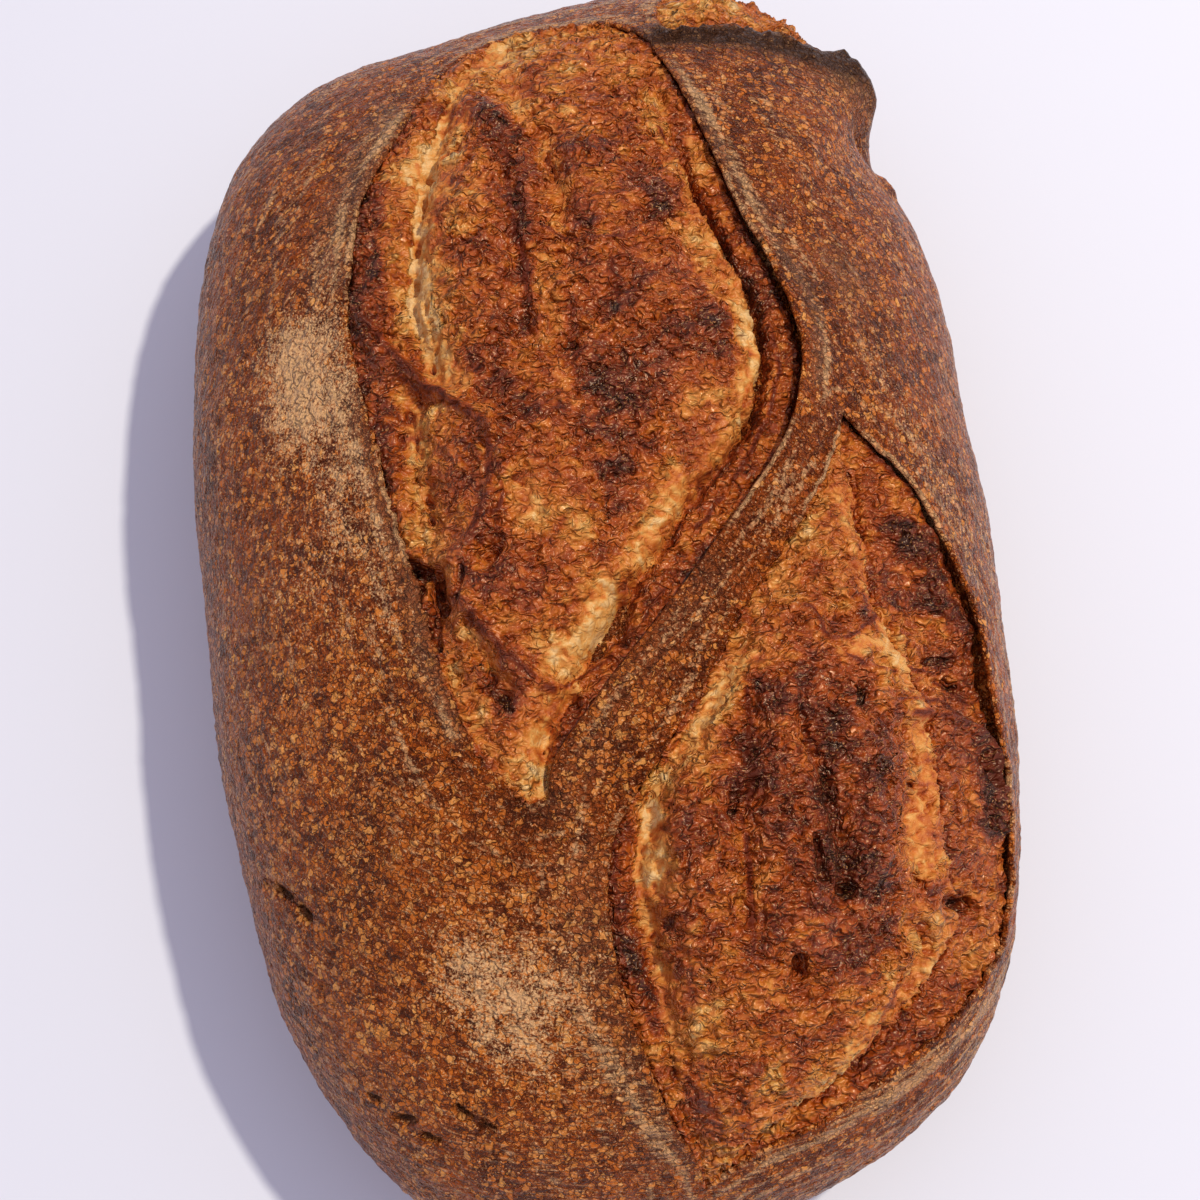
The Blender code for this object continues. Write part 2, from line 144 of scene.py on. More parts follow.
# %% From the unrolled skin to the loaf
def loaf_point(flat):
    """Place on the plain loaf of each point of its unrolled skin."""
    angle = np.arctan2(flat[:, 1], flat[:, 0])
    radius = plan_radius(angle)
    length = np.hypot(flat[:, 0], flat[:, 1]) / radius
    share = np.interp(length, SKIN_LENGTH, SKIN_SHARE)
    power = SIDE_POWER + (END_POWER - SIDE_POWER) * np.sin(angle) ** 2
    dome = (CRUST_TOP - WIDEST_LEVEL) * np.sqrt(np.clip(1 - share ** power, 0, 1))
    below = WIDEST_LEVEL * np.interp(length, SKIN_LENGTH, SKIN_DEPTH)
    height = WIDEST_LEVEL + np.where(length < WIDEST_LENGTH, dome, -below)
    reach = share * radius
    return np.column_stack([reach * np.cos(angle), reach * np.sin(angle), height])


def loaf_normal(flat, step=0.5):
    """Outward direction of the plain loaf at each point of its unrolled skin."""
    across = loaf_point(flat + (step, 0)) - loaf_point(flat - (step, 0))
    along = loaf_point(flat + (0, step)) - loaf_point(flat - (0, step))
    normal = np.cross(across, along)
    return normal / np.linalg.norm(normal, axis=1)[:, None]


print("top of the plain loaf:", loaf_point(np.zeros((1, 2))).round(1)[0], "mm")

# %% [markdown]
# ## The openings
# A baker draws a blade along the dough at a slant. In the oven one side of the cut lifts into a
# lip, and the skin under it stretches into a smooth band before it tears. Inside the band there
# is a gap of pale crumb, and then the domed middle, which is the first dough that came out.
#
# Each opening is two edge lines that run from tip to tip. Rows of (share of the length, value)
# say how that build-up changes along it: rise of the dome, width of the bands, depth of the
# cracks, how far a band lies below the crust, how far the lip curls up, how brown the dome is
# and how much pale crumb shows beside each band.

# %% The upper score
UPPER_SCORE = {
    "left": [(16, 128), (-1, 130), (-13, 128), (-24, 119), (-32, 105), (-39, 91), (-45, 78),
             (-48, 63), (-50, 48), (-49, 34), (-46, 17), (-43, 1), (-40, -13), (-37, -29),
             (-33, -43), (-29, -53), (-22, -62), (-16, -63)],
    "right": [(16, 128), (22, 121), (25, 114), (32, 89), (38, 65), (42, 55), (45, 45), (47, 34),
              (46, 25), (42, 13), (35, 2), (17, -20), (-4, -43), (-14, -55), (-16, -63)],
    "rise": [(0, 0), (0.15, 3), (0.35, 8), (0.6, 9.5), (0.8, 6.5), (1, 0)],
    "left_band": [(0, 1), (0.1, 5), (0.2, 8), (0.25, 9), (0.32, 12.5), (0.44, 13.5), (0.5, 15),
                  (0.54, 15), (0.59, 7.5), (0.69, 5.5), (0.76, 4), (0.85, 1.5), (1, 0.5)],
    "right_band": [(0, 1), (0.15, 5), (0.3, 6), (0.38, 5.3), (0.45, 6), (0.56, 7), (0.66, 9),
                   (0.75, 8.2), (0.85, 6), (0.93, 3.5), (1, 0.5)],
    "left_gap": [(0, 0), (0.12, 1.5), (0.25, 3.5), (0.45, 3.5), (0.55, 1.5), (0.85, 1.5), (1, 0)],
    "right_gap": [(0, 0), (0.2, 1), (0.28, 6), (0.38, 11), (0.5, 8), (0.65, 5), (0.8, 4),
                  (0.9, 3), (1, 0)],
    "left_drop": [(0, 0.6), (1, 0.6)],
    "right_drop": [(0, 1), (0.1, 1.2), (0.3, 1.8), (0.45, 2.6), (0.7, 2.6), (0.9, 1.8), (1, 0.8)],
    "left_lip": [(0, 0), (0.3, 1.2), (0.7, 0.8), (1, 0)],
    "right_lip": [(0, 0), (0.1, 1), (0.3, 1.8), (0.45, 2.6), (0.6, 2.4), (0.85, 1.5), (1, 0)],
    "left_ragged": [(0, 0.3), (0.5, 0.4), (0.62, 1.3), (0.95, 1.0), (1, 0)],
    "right_ragged": [(0, 0.2), (0.5, 0.3), (1, 0)],
    "browning": [(0, 0.42), (0.15, 0.45), (0.24, 0.58), (0.5, 0.62), (0.8, 0.58), (1, 0.48)],
    "left_crumb": [(0, 0.05), (0.1, 0.2), (0.17, 0.46), (0.42, 0.46), (0.5, 0.3), (0.6, 0.12),
                   (1, 0.14)],
    "right_crumb": [(0, 0), (0.2, 0.1), (0.28, 0.32), (0.4, 0.4), (0.9, 0.36), (1, 0.2)],
    "left_reach": [(0, 3), (0.2, 8), (0.45, 8), (1, 4)],
    "right_reach": [(0, 3), (0.25, 5), (0.45, 7), (0.9, 7), (1, 4)],
    "left_brown": [(0, 0.46), (0.15, 0.5), (0.3, 0.6), (0.6, 0.6), (1, 0.5)],
    "right_brown": [(0, 0.45), (0.2, 0.5), (0.35, 0.58), (0.6, 0.62), (1, 0.6)],
}

# %% The lower score
LOWER_SCORE = {
    "left": [(54, 17), (50, 7), (43, -5), (34, -17), (26, -27), (19, -38), (13, -47), (6, -56),
             (0, -64), (-5, -72), (-7, -82), (-7, -94), (-5, -107), (-2, -119), (2, -132),
             (6, -141), (8, -151)],
    "right": [(54, 17), (60, 11), (68, 3), (74, -6), (79, -18), (83, -29), (85, -52), (87, -66),
              (87, -81), (86, -93), (83, -104), (74, -113), (63, -121), (49, -129), (35, -136),
              (22, -141), (13, -147), (8, -151)],
    "rise": [(0, 0), (0.15, 4), (0.35, 8), (0.55, 10), (0.75, 8), (0.9, 4), (1, 0)],
    "left_band": [(0, 0.8), (0.38, 1), (0.46, 2.6), (0.52, 2.8), (0.56, 4.3), (0.62, 5.8),
                  (0.72, 7), (0.8, 6), (0.9, 3), (1, 0.5)],
    "right_band": [(0, 1), (0.06, 6.5), (0.12, 13), (0.16, 17), (0.2, 20.5), (0.28, 22.5),
                   (0.33, 18.5), (0.4, 17), (0.47, 19.5), (0.54, 18.5), (0.6, 14.5), (0.69, 11),
                   (0.77, 7), (0.88, 4), (1, 0.5)],
    "left_gap": [(0, 0), (0.35, 1), (0.45, 2.5), (0.6, 3), (0.72, 2.5), (0.85, 1), (1, 0)],
    "right_gap": [(0, 0), (0.12, 2), (0.3, 2.5), (0.42, 3.5), (0.75, 3.5), (0.9, 2.5), (1, 0)],
    "left_drop": [(0, 0.8), (0.5, 1), (0.7, 1.5), (1, 0.5)],
    "right_drop": [(0, 1), (0.15, 2.6), (0.4, 2), (0.65, 0.8), (1, 0.5)],
    "left_lip": [(0, 0), (0.4, 0.8), (0.65, 1.6), (0.9, 1.4), (1, 0)],
    "right_lip": [(0, 0), (0.15, 2.0), (0.35, 1.6), (0.6, 0.6), (1, 0)],
    "left_ragged": [(0, 0.6), (0.35, 1.1), (0.6, 0.4), (0.9, 0.3), (1, 0)],
    "right_ragged": [(0, 0.2), (0.35, 0.6), (0.6, 1.2), (0.95, 0.8), (1, 0)],
    "browning": [(0, 0.44), (0.25, 0.46), (0.33, 0.54), (0.4, 0.66), (0.66, 0.66), (0.76, 0.56),
                 (1, 0.5)],
    "left_crumb": [(0, 0), (0.3, 0.05), (0.4, 0.2), (0.7, 0.25), (0.8, 0.1), (1, 0)],
    "right_crumb": [(0, 0.05), (0.12, 0.2), (0.25, 0.22), (0.42, 0.34), (0.72, 0.32), (0.85, 0.24),
                    (1, 0)],
    "left_reach": [(0, 3), (0.5, 6), (1, 3)],
    "right_reach": [(0, 3), (0.4, 9), (0.7, 9), (1, 5)],
    "left_brown": [(0, 0.55), (0.4, 0.6), (0.7, 0.68), (1, 0.55)],
    "right_brown": [(0, 0.6), (0.25, 0.6), (0.5, 0.52), (0.75, 0.52), (1, 0.55)],
}

# %% The torn end
END_TEAR = {
    "left": [(28, 120), (36, 121), (47, 123), (60, 122), (71, 122), (80, 128)],
    "right": [(28, 120), (27, 132), (35, 145), (51, 153), (70, 147), (80, 128)],
    "rise": [(0, 0), (0.3, 3.5), (0.7, 4), (1, 0)],
    "left_band": [(0, 0.5), (0.5, 2.5), (1, 0.5)],
    "right_band": [(0, 0.5), (0.5, 3), (1, 0.5)],
    "left_gap": [(0, 0), (0.5, 1.5), (1, 0)],
    "right_gap": [(0, 0), (1, 0)],
    "left_drop": [(0, 1), (0.3, 3), (0.8, 3.5), (1, 2)],
    "right_drop": [(0, 0.4), (1, 0.4)],
    "left_lip": [(0, 0), (0.3, 2), (0.8, 4), (1, 3.5)],
    "right_lip": [(0, 0), (1, 0)],
    "left_ragged": [(0, 0.3), (0.4, 1.1), (1, 0.6)],
    "right_ragged": [(0, 0.3), (1, 0.3)],
    "browning": [(0, 0.36), (0.4, 0.36), (1, 0.46)],
    "left_crumb": [(0, 0), (1, 0)],
    "right_crumb": [(0, 0), (1, 0)],
    "left_reach": [(0, 3), (1, 3)],
    "right_reach": [(0, 3), (1, 3)],
    "left_brown": [(0, 0.5), (1, 0.5)],
    "right_brown": [(0, 0.45), (1, 0.45)],
}

# %% [markdown]
# ## Folds and tints
# The torn skin isn't even. It has long folds, pits where gas burst, burnt nubs and pale tears.
# Each is a short line on the unrolled skin with a half width and a strength, like one stroke of
# a sculpting brush: folds move the surface, in millimetres, and tints change how brown it is, on
# a scale from 0, pale crumb, to 1, burnt black.

# %% Folds of the upper bloom
UPPER_FOLDS = [
    ([(-21, 103), (-16, 97), (-12, 93)], 4.0, 2.6),
    ([(2, 79), (7, 82)], 4.0, 2.2),
    ([(18, 67), (22, 71)], 3.6, 2.4),
    ([(-18, 81), (-21, 64), (-22, 48), (-21, 35)], 6.5, 1.8),
    ([(-13, 83), (-12, 63), (-12, 46), (-11, 35)], 2.6, -2.4),
    ([(-4, 87), (-3, 70), (-2, 53)], 3.2, -2.6),
    ([(7, 70), (11, 53), (23, 37)], 8.0, 1.8),
    ([(18, 65), (9, 47), (-4, 32)], 3.0, -2.0),
    ([(-46, 47), (-44, 39), (-40, 35), (-30, 26), (-23, 20), (-20, 14)], 1.8, 2.6),
    ([(-20, 14), (-19, 6), (-23, -3), (-27, -9), (-35, -10), (-41, -8)], 1.8, 2.0),
    ([(-37, 27), (-35, 13), (-33, -1)], 5.0, -1.6),
    ([(-18, 19), (3, 25), (32, 36)], 6.0, -1.4),
    ([(-11, 11), (-8, -2), (-3, -11)], 8.0, 1.6),
    ([(-40, -10), (-39, -16)], 1.8, -3.0),
    ([(-35, -14), (-34, -22)], 2.0, -2.6),
    ([(-24, -12), (-22, -10)], 2.6, -2.6),
    ([(-31, -18), (-25, -29), (-19, -37), (-14, -41), (-9, -40)], 2.4, 1.8),
    ([(-29, -26), (-25, -33), (-23, -41)], 2.2, -2.4),
    ([(1, -22), (1, -27), (-3, -32)], 3.4, -3.0),
    ([(-14, -37), (-11, -35)], 2.4, -1.8),
    ([(-16, -47), (-16, -59)], 1.8, -2.6),
    ([(-11, -43), (-10, -46)], 1.8, -2.4),
    ([(-11, 118), (-9, 102), (-8, 89)], 3.6, -1.6),
]

# %% Tints of the upper bloom
UPPER_TINTS = [
    ([(-44, 72), (-45, 60), (-44, 50), (-45, 34), (-44, 17)], 3.0, 0.16),
    ([(0, -20), (-1, -24), (-4, -28)], 2.8, -0.3),
    ([(36, 39), (36, 30), (33, 22)], 2.2, -0.24),
    ([(-11, 8), (-12, -1), (-8, -10)], 6.0, -0.22),
    ([(-1, 22), (0, 10)], 8.0, 0.14),
    ([(-21, 102), (-17, 96), (-13, 93), (-11, 90)], 4.2, 0.45),
    ([(2, 80), (5, 80), (9, 80)], 3.2, 0.42),
    ([(1, 75), (5, 73), (9, 75)], 3.0, 0.1),
    ([(17, 70), (20, 68), (21, 66)], 2.8, 0.36),
    ([(13, 61), (17, 63), (20, 64)], 1.8, 0.2),
    ([(-12, 127), (-10, 114), (-8, 102), (-7, 93)], 4.2, -0.19),
    ([(-30, 89), (-32, 83), (-32, 72), (-33, 63), (-34, 57), (-33, 47), (-32, 40), (-30, 33),
      (-26, 27)], 3.0, -0.32),
    ([(-35, 86), (-37, 76), (-39, 63), (-39, 55), (-36, 44)], 2.6, -0.2),
    ([(-32, 107), (-39, 93), (-44, 83), (-47, 73), (-48, 60), (-48, 45)], 1.5, 0.2),
    ([(-43, 61), (-43, 55)], 1.8, 0.25),
    ([(-17, 79), (-12, 83), (-8, 78), (-6, 75)], 2.6, 0.12),
    ([(-11, 76), (-11, 67), (-10, 57), (-10, 47), (-11, 40)], 1.8, 0.2),
    ([(-3, 83), (-3, 75), (-2, 66), (-2, 61)], 2.4, -0.3),
    ([(-6, 52), (-5, 44), (-5, 38), (-7, 34)], 2.8, -0.17),
    ([(21, 90), (23, 82), (24, 75)], 1.5, -0.16),
    ([(22, 62), (26, 57), (28, 50), (30, 43)], 3.0, -0.24),
    ([(27, 26), (25, 20), (18, 14)], 3.2, -0.2),
    ([(15, 4), (12, -5), (9, -12)], 3.5, -0.2),
    ([(4, 24), (9, 27), (17, 32), (24, 35), (30, 36)], 4.0, 0.14),
    ([(11, 53), (11, 46), (8, 41)], 3.2, 0.1),
    ([(-4, 29), (-1, 26), (-6, 21)], 3.2, -0.16),
    ([(-17, 5), (-17, 0), (-15, -4)], 3.6, -0.17),
    ([(-3, 4), (0, 3)], 3.2, -0.15),
    ([(-10, 18), (-2, 22), (5, 21), (9, 19)], 3.5, 0.12),
    ([(2, 4), (8, 4)], 1.6, 0.16),
    ([(-13, -13), (-5, -14), (0, -13)], 2.6, 0.12),
    ([(-38, 27), (-38, 17), (-38, 9), (-39, 2), (-35, -5)], 3.0, -0.16),
    ([(-39, 28), (-37, 20), (-38, 16)], 2.6, -0.2),
    ([(-25, -12), (-23, -11)], 2.4, -0.22),
    ([(-29, -26), (-25, -33), (-22, -40)], 2.4, -0.26),
    ([(-13, -24), (-4, -22)], 3.0, -0.1),
    ([(-18, -32), (-11, -33), (-4, -30)], 3.2, -0.22),
    ([(-1, -21), (1, -25), (-1, -30), (-4, -33)], 4.0, -0.18),
    ([(-16, -49), (-16, -56), (-17, -62)], 2.6, -0.22),
]

# %% Folds of the lower bloom
LOWER_FOLDS = [
    ([(16, -49), (11, -66), (10, -82), (12, -97)], 5.5, 1.8),
    ([(33, -48), (30, -64), (29, -80), (30, -93)], 6.0, 2.0),
    ([(47, -55), (46, -69), (46, -81)], 4.5, 2.2),
    ([(26, -48), (24, -59), (22, -73), (19, -90)], 2.2, -2.8),
    ([(35, -52), (37, -64), (39, -75), (40, -86)], 2.0, -3.4),
    ([(29, -99), (29, -102)], 1.8, -3.0),
    ([(19, -64), (25, -62)], 2.0, 2.2),
    ([(27, -40), (36, -39), (46, -38)], 4.0, 1.6),
    ([(68, -6), (71, -11), (74, -17), (78, -25), (79, -29)], 4.0, 2.4),
    ([(49, -38), (55, -37), (62, -39)], 3.0, 1.4),
    ([(74, -42), (78, -45)], 2.2, -2.4),
    ([(52, -49), (61, -50), (76, -52), (83, -57), (86, -65), (87, -77)], 2.4, 2.4),
    ([(57, -55), (59, -63), (56, -72), (56, -88)], 4.5, -1.8),
    ([(71, -92), (74, -94)], 2.4, -3.0),
    ([(54, -95), (57, -104), (51, -114), (41, -126)], 2.2, -2.6),
    ([(8, -45), (5, -54), (3, -65), (3, -87), (3, -98)], 3.0, -1.6),
    ([(38, -128), (29, -132), (21, -137), (13, -146)], 1.8, -2.0),
    ([(73, -106), (71, -113)], 1.8, -2.0),
]

# %% Tints of the lower bloom
LOWER_TINTS = [
    ([(44, -58), (45, -69), (43, -80)], 5.5, 0.2),
    ([(4, -68), (4, -76), (5, -84)], 3.0, -0.36),
    ([(49, -4), (44, -11), (37, -18), (32, -27)], 4.5, -0.08),
    ([(51, -23), (52, -29), (45, -33)], 2.4, 0.16),
    ([(57, 0), (57, -8), (57, -16), (57, -22)], 1.8, -0.2),
    ([(45, -39), (52, -37), (59, -39)], 2.4, -0.33),
    ([(57, -31), (61, -32)], 2.2, -0.29),
    ([(66, -7), (71, -13), (74, -21), (79, -28)], 3.0, 0.4),
    ([(65, -23), (74, -26)], 2.4, 0.2),
    ([(72, -3), (77, -11), (81, -20), (84, -30)], 1.8, -0.19),
    ([(53, -45), (55, -48)], 2.8, -0.18),
    ([(44, -55), (48, -53)], 2.6, -0.17),
    ([(74, -42), (76, -43)], 2.6, -0.22),
    ([(30, -47), (35, -47), (41, -50), (45, -47)], 4.5, 0.14),
    ([(40, -59), (38, -64), (39, -71), (36, -78)], 2.6, 0.12),
    ([(24, -55), (24, -60), (22, -66)], 1.8, 0.26),
    ([(19, -63), (24, -63)], 1.3, 0.25),
    ([(49, -52), (51, -57), (48, -63)], 2.6, 0.14),
    ([(42, -64), (41, -75)], 1.9, -0.2),
    ([(60, -55), (61, -62), (57, -69), (58, -76), (60, -83)], 5.0, -0.24),
    ([(83, -57), (83, -65), (84, -76)], 3.2, 0.36),
    ([(28, -38), (23, -41), (20, -45), (16, -51)], 2.4, -0.32),
    ([(12, -55), (15, -57), (17, -60)], 3.2, -0.19),
    ([(6, -59), (5, -64), (3, -71), (1, -79)], 2.8, -0.24),
    ([(1, -79), (1, -86), (3, -99), (3, -111)], 2.6, -0.19),
    ([(9, -109), (11, -108)], 2.8, -0.16),
    ([(14, -73), (10, -83), (14, -95)], 4.0, 0.08),
    ([(14, -88), (15, -88)], 1.6, -0.18),
    ([(36, -76), (39, -81), (40, -86)], 2.0, 0.32),
    ([(56, -72), (56, -80), (55, -87), (56, -96), (58, -104)], 4.2, -0.22),
    ([(48, -103), (45, -109), (41, -115), (37, -119)], 3.8, -0.2),
    ([(41, -122), (33, -127), (24, -135), (17, -140)], 3.0, -0.12),
    ([(15, -113), (23, -122), (15, -130)], 5.0, -0.1),
    ([(-6, -100), (-3, -109), (0, -119), (4, -129), (6, -138)], 1.6, -0.12),
    ([(-4, -85), (-3, -94), (1, -105)], 1.4, 0.16),
    ([(65, -112), (60, -120), (55, -126)], 3.2, 0.12),
    ([(71, -92), (74, -94)], 2.4, 0.3),
]

# %% [markdown]
# ## Strands and holes
# Where gluten tore last it dried into smooth, shiny, nearly black strands that cross the bloom
# like sinews. Between them gas cells burst and left small holes. Both are narrower and steeper
# than the folds, so they have their own lists: strands with a half width and a height, holes
# with a half width and a depth.

# %% Strands and holes of the upper bloom
UPPER_STRANDS = [
    ([(-46, 47), (-43, 43), (-40, 38), (-34, 29)], 0.9, 2.0),
    ([(-34, 29), (-31, 26), (-28, 23)], 0.9, 1.5),
    ([(-28, 23), (-23, 18), (-20, 14)], 0.82, 0.8),
    ([(-39, 32), (-34, 27), (-29, 23), (-24, 18)], 0.4, 0.72),
    ([(-21, 13), (-21, 8), (-22, 1), (-24, -4), (-27, -9)], 0.82, 1.12),
    ([(-23, -4), (-20, -2), (-19, 3), (-20, 8)], 0.4, 0.64),
    ([(-28, -23), (-23, -31), (-16, -39), (-13, -41)], 0.82, 1.28),
    ([(-13, -41), (-3, -35), (6, -27), (12, -20)], 0.48, 0.72),
    ([(-12, 86), (-12, 75), (-12, 65), (-11, 56), (-10, 44)], 0.75, 0.24),
    ([(22, 88), (25, 83), (28, 75), (31, 68)], 0.41, 0.4),
    ([(-6, 61), (1, 56), (10, 56), (17, 61)], 0.4, 0.64),
    ([(8, 51), (8, 45), (10, 40)], 0.61, 0.16),
    ([(42, 37), (42, 26), (38, 16), (30, 4), (20, -8)], 0.61, 0.48),
    ([(-41, 104), (-46, 84), (-51, 63), (-52, 47)], 0.54, 0.4),
]
UPPER_HOLES = [
    ([(-32, 47), (-32, 45)], 0.9, 1.6),
    ([(-31, 43), (-31, 41)], 0.8, 1.4),
    ([(-31, 39), (-30, 37)], 1.0, 1.6),
    ([(-32, 34), (-32, 33)], 0.7, 1.4),
    ([(-30, 84), (-29, 81)], 0.9, 1.4),
    ([(-31, 76), (-31, 73)], 1.0, 1.4),
    ([(-33, 65), (-33, 62)], 1.0, 1.6),
    ([(-34, 55), (-34, 52)], 0.9, 1.6),
    ([(-38, 24), (-38, 22)], 0.9, 1.5),
    ([(-37, 18), (-37, 17)], 0.7, 1.4),
    ([(-40, 19), (-40, 17)], 0.6, 1.2),
    ([(-3, 32), (-2, 32)], 1.1, 2.2),
    ([(-2, 2), (2, 3), (6, 2)], 0.6, 1.2),
    ([(-36, 5), (-35, 3)], 1.0, 1.6),
    ([(-35, 0), (-35, -1)], 0.8, 1.4),
    ([(-23, -11), (-22, -11)], 1.3, 2.6),
    ([(-41, -9), (-37, -12)], 1.5, 2.8),
    ([(-35, -12), (-34, -20)], 1.5, 2.8),
    ([(-37, -22), (-36, -29)], 1.2, 2.2),
    ([(-29, -25), (-28, -25)], 1.0, 2.0),
    ([(-29, -13), (-30, -19)], 0.8, 1.8),
    ([(-25, -37), (-25, -36)], 0.8, 1.6),
    ([(-27, -38), (-23, -41)], 1.4, 2.2),
    ([(-23, -43), (-22, -44)], 0.8, 1.8),
    ([(-9, -42), (-9, -43)], 1.0, 1.8),
    ([(-2, 66), (-2, 66.5)], 0.8, 1.8),
    ([(-3, 82), (-2, 75)], 0.9, 1.6),
    ([(34, 22), (33, 19)], 0.5, 1.2),
    ([(22, 3), (19, 2)], 0.9, 1.6),
    ([(36, 31), (36, 30)], 0.4, 1.0),
    ([(33, 26), (33, 25)], 0.4, 1.0),
    ([(4, -18), (2, -24), (2, -31)], 1.3, 2.0),
    ([(-23, 87), (-22, 85)], 0.9, 1.6),
    ([(-23, 59), (-22, 58)], 1.0, 1.8),
]

# %% Strands and holes of the lower bloom
LOWER_STRANDS = [
    ([(53, -52), (60, -51), (73, -51), (79, -53), (84, -57), (86, -68)], 0.68, 1.28),
    ([(54, -49), (62, -48), (70, -47), (76, -49)], 0.4, 0.72),
    ([(25, -45), (25, -51), (24, -57), (24, -63), (23, -67), (23, -75)], 0.61, 0.4),
    ([(21, -70), (21, -77), (21, -87), (20, -96)], 0.61, 0.4),
    ([(20, -65), (22, -63), (25, -62)], 0.61, 1.12),
    ([(38, -28), (41, -30), (42, -36), (49, -34), (55, -29)], 0.54, 0.64),
    ([(40, -37), (45, -40), (51, -42), (56, -42)], 0.48, 0.48),
    ([(34, -77), (35, -82), (35, -85), (39, -86), (40, -87)], 0.54, 0.24),
    ([(60, 9), (68, 2), (74, -8), (79, -18), (83, -30), (84, -39)], 0.61, 0.56),
    ([(60, -38), (66, -40), (74, -42), (80, -48)], 0.4, 0.72),
    ([(20, -36), (12, -46), (5, -55), (-1, -63), (-4, -72), (-5, -84), (-5, -97)], 0.61, 0.4),
]
LOWER_HOLES = [
    ([(56, 4), (57, -1), (57, -6), (58, -10)], 0.9, 1.8),
    ([(58, -23), (57, -28)], 0.8, 1.8),
    ([(69, -38), (78, -37)], 1.1, 2.2),
    ([(76, -42), (79, -44)], 1.1, 2.2),
    ([(60, -59), (60, -61)], 0.7, 1.6),
    ([(57, -66), (58, -66)], 0.8, 1.6),
    ([(61, -68), (61, -69)], 0.6, 1.4),
    ([(58, -71), (57, -71)], 0.5, 1.2),
    ([(64, -91), (75, -93)], 1.6, 3.0),
    ([(56, -85), (57, -87)], 1.0, 2.2),
    ([(57, -95), (60, -101)], 1.1, 2.4),
    ([(20, -65), (19, -69)], 1.3, 2.4),
    ([(34, -76), (35, -84)], 0.9, 2.6),
    ([(38, -86), (41, -87)], 1.2, 2.6),
    ([(4, -78), (4, -79)], 1.0, 1.6),
    ([(6, -71), (4, -72)], 0.9, 1.4),
    ([(5, -89), (5, -90)], 1.0, 1.6),
    ([(29, -99), (29, -102)], 1.3, 2.6),
    ([(83, -60), (85, -66)], 1.2, 2.0),
    ([(83, -75), (83, -76)], 1.0, 2.2),
    ([(48, -46), (47, -49)], 1.0, 2.0),
    ([(58, -54), (58, -55)], 0.9, 1.4),
    ([(52, -104), (51, -108)], 0.9, 2.0),
]

# %% Folds and tints of the torn end and of the crust
CRUST_CRACKS = [
    ([(-79, -74), (-76, -76)], 0.9, 1.2),
    ([(-73, -79), (-71, -81)], 1.1, 1.8),
    ([(-57, -127), (-55, -127), (-53, -127)], 0.9, 1.4),
    ([(-51, -131), (-48, -132)], 0.8, 1.4),
    ([(-42, -124), (-40, -126)], 0.9, 1.6),
    ([(-37, -128), (-35, -129)], 0.7, 1.2),
    ([(-63, -122), (-61, -123)], 0.7, 1.0),
]
END_TINTS = [
    ([(25, 121), (36, 125), (47, 127), (61, 127)], 2.5, 0.15),
]
CRUST_FOLDS = [
    ([(70, 119), (76, 117), (79, 111)], 5.0, 1.5),
    ([(75, 118), (79, 115)], 3.2, 2.4),
    ([(80, 102), (88, 99)], 3.8, -3.4),
    ([(83, 93), (85, 91)], 2.0, 1.4),
    ([(-82, -73), (-77, -75), (-72, -80)], 2.0, -1.0),
]
OPENINGS = [(UPPER_SCORE, UPPER_FOLDS, UPPER_TINTS), (LOWER_SCORE, LOWER_FOLDS, LOWER_TINTS),
            (END_TEAR, [], END_TINTS)]
STRANDS = {"upper_bloom": UPPER_STRANDS, "lower_bloom": LOWER_STRANDS, "end_bloom": []}
HOLES = {"upper_bloom": UPPER_HOLES, "lower_bloom": LOWER_HOLES, "end_bloom": []}


# %% Measuring against lines
def distance_to(line, places, reach=60.0):
    """Shortest distance from each place to a line. Past the reach it is only told to be far."""
    close = np.all((places > line.min(axis=0) - reach) & (places < line.max(axis=0) + reach), axis=1)
    x, y = places[close].T.copy()
    nearest = np.full(len(x), (10 * reach) ** 2)
    for (x0, y0), (x1, y1) in zip(line[:-1], line[1:]):
        run_x, run_y = x1 - x0, y1 - y0
        share = ((x - x0) * run_x + (y - y0) * run_y) / max(run_x ** 2 + run_y ** 2, 1e-12)
        np.clip(share, 0, 1, out=share)
        nearest = np.minimum(nearest, (x - x0 - share * run_x) ** 2 + (y - y0 - share * run_y) ** 2)
    distance = np.full(len(places), 10 * reach)
    distance[close] = np.sqrt(nearest)
    return distance


def is_inside(ring, places):
    """Which places lie inside a closed ring."""
    x, y = places.T
    crossings = np.zeros(len(places), int)
    for (x0, y0), (x1, y1) in zip(ring, np.roll(ring, -1, axis=0)):
        spans = (y0 > y) != (y1 > y)
        rise = y1 - y0 if y1 != y0 else 1.0
        crossings += spans & (x < x0 + (y - y0) * (x1 - x0) / rise)
    return crossings % 2 == 1


EDGE_STEPS = 20
RAGGED_SIZE = 3.2


def ragged_edge(opening, side):
    """One edge of an opening, with the small tears that the crust made as it parted."""
    line = smooth_line(opening[side], EDGE_STEPS)
    share = np.linspace(0, 1, len(line))
    along = np.append(0, np.cumsum(np.hypot(*np.diff(line, axis=0).T)))
    tears = [noise.fractal((place / RAGGED_SIZE, 2.0, len(side)), 0.7, 2.1, 3) for place in along]
    reach = np.interp(share, *zip(*opening[side + "_ragged"])) * np.array(tears)
    reach *= np.clip(4 * np.minimum(share, 1 - share) / 0.08, 0, 1)
    run = np.gradient(line, axis=0)
    sideways = np.column_stack([-run[:, 1], run[:, 0]]) / np.hypot(*run.T)[:, None]
    return line + sideways * reach[:, None]


def opening_ring(opening):
    """The closed edge of one opening."""
    left, right = ragged_edge(opening, "left"), ragged_edge(opening, "right")
    return np.vstack([left, right[-2:0:-1]])


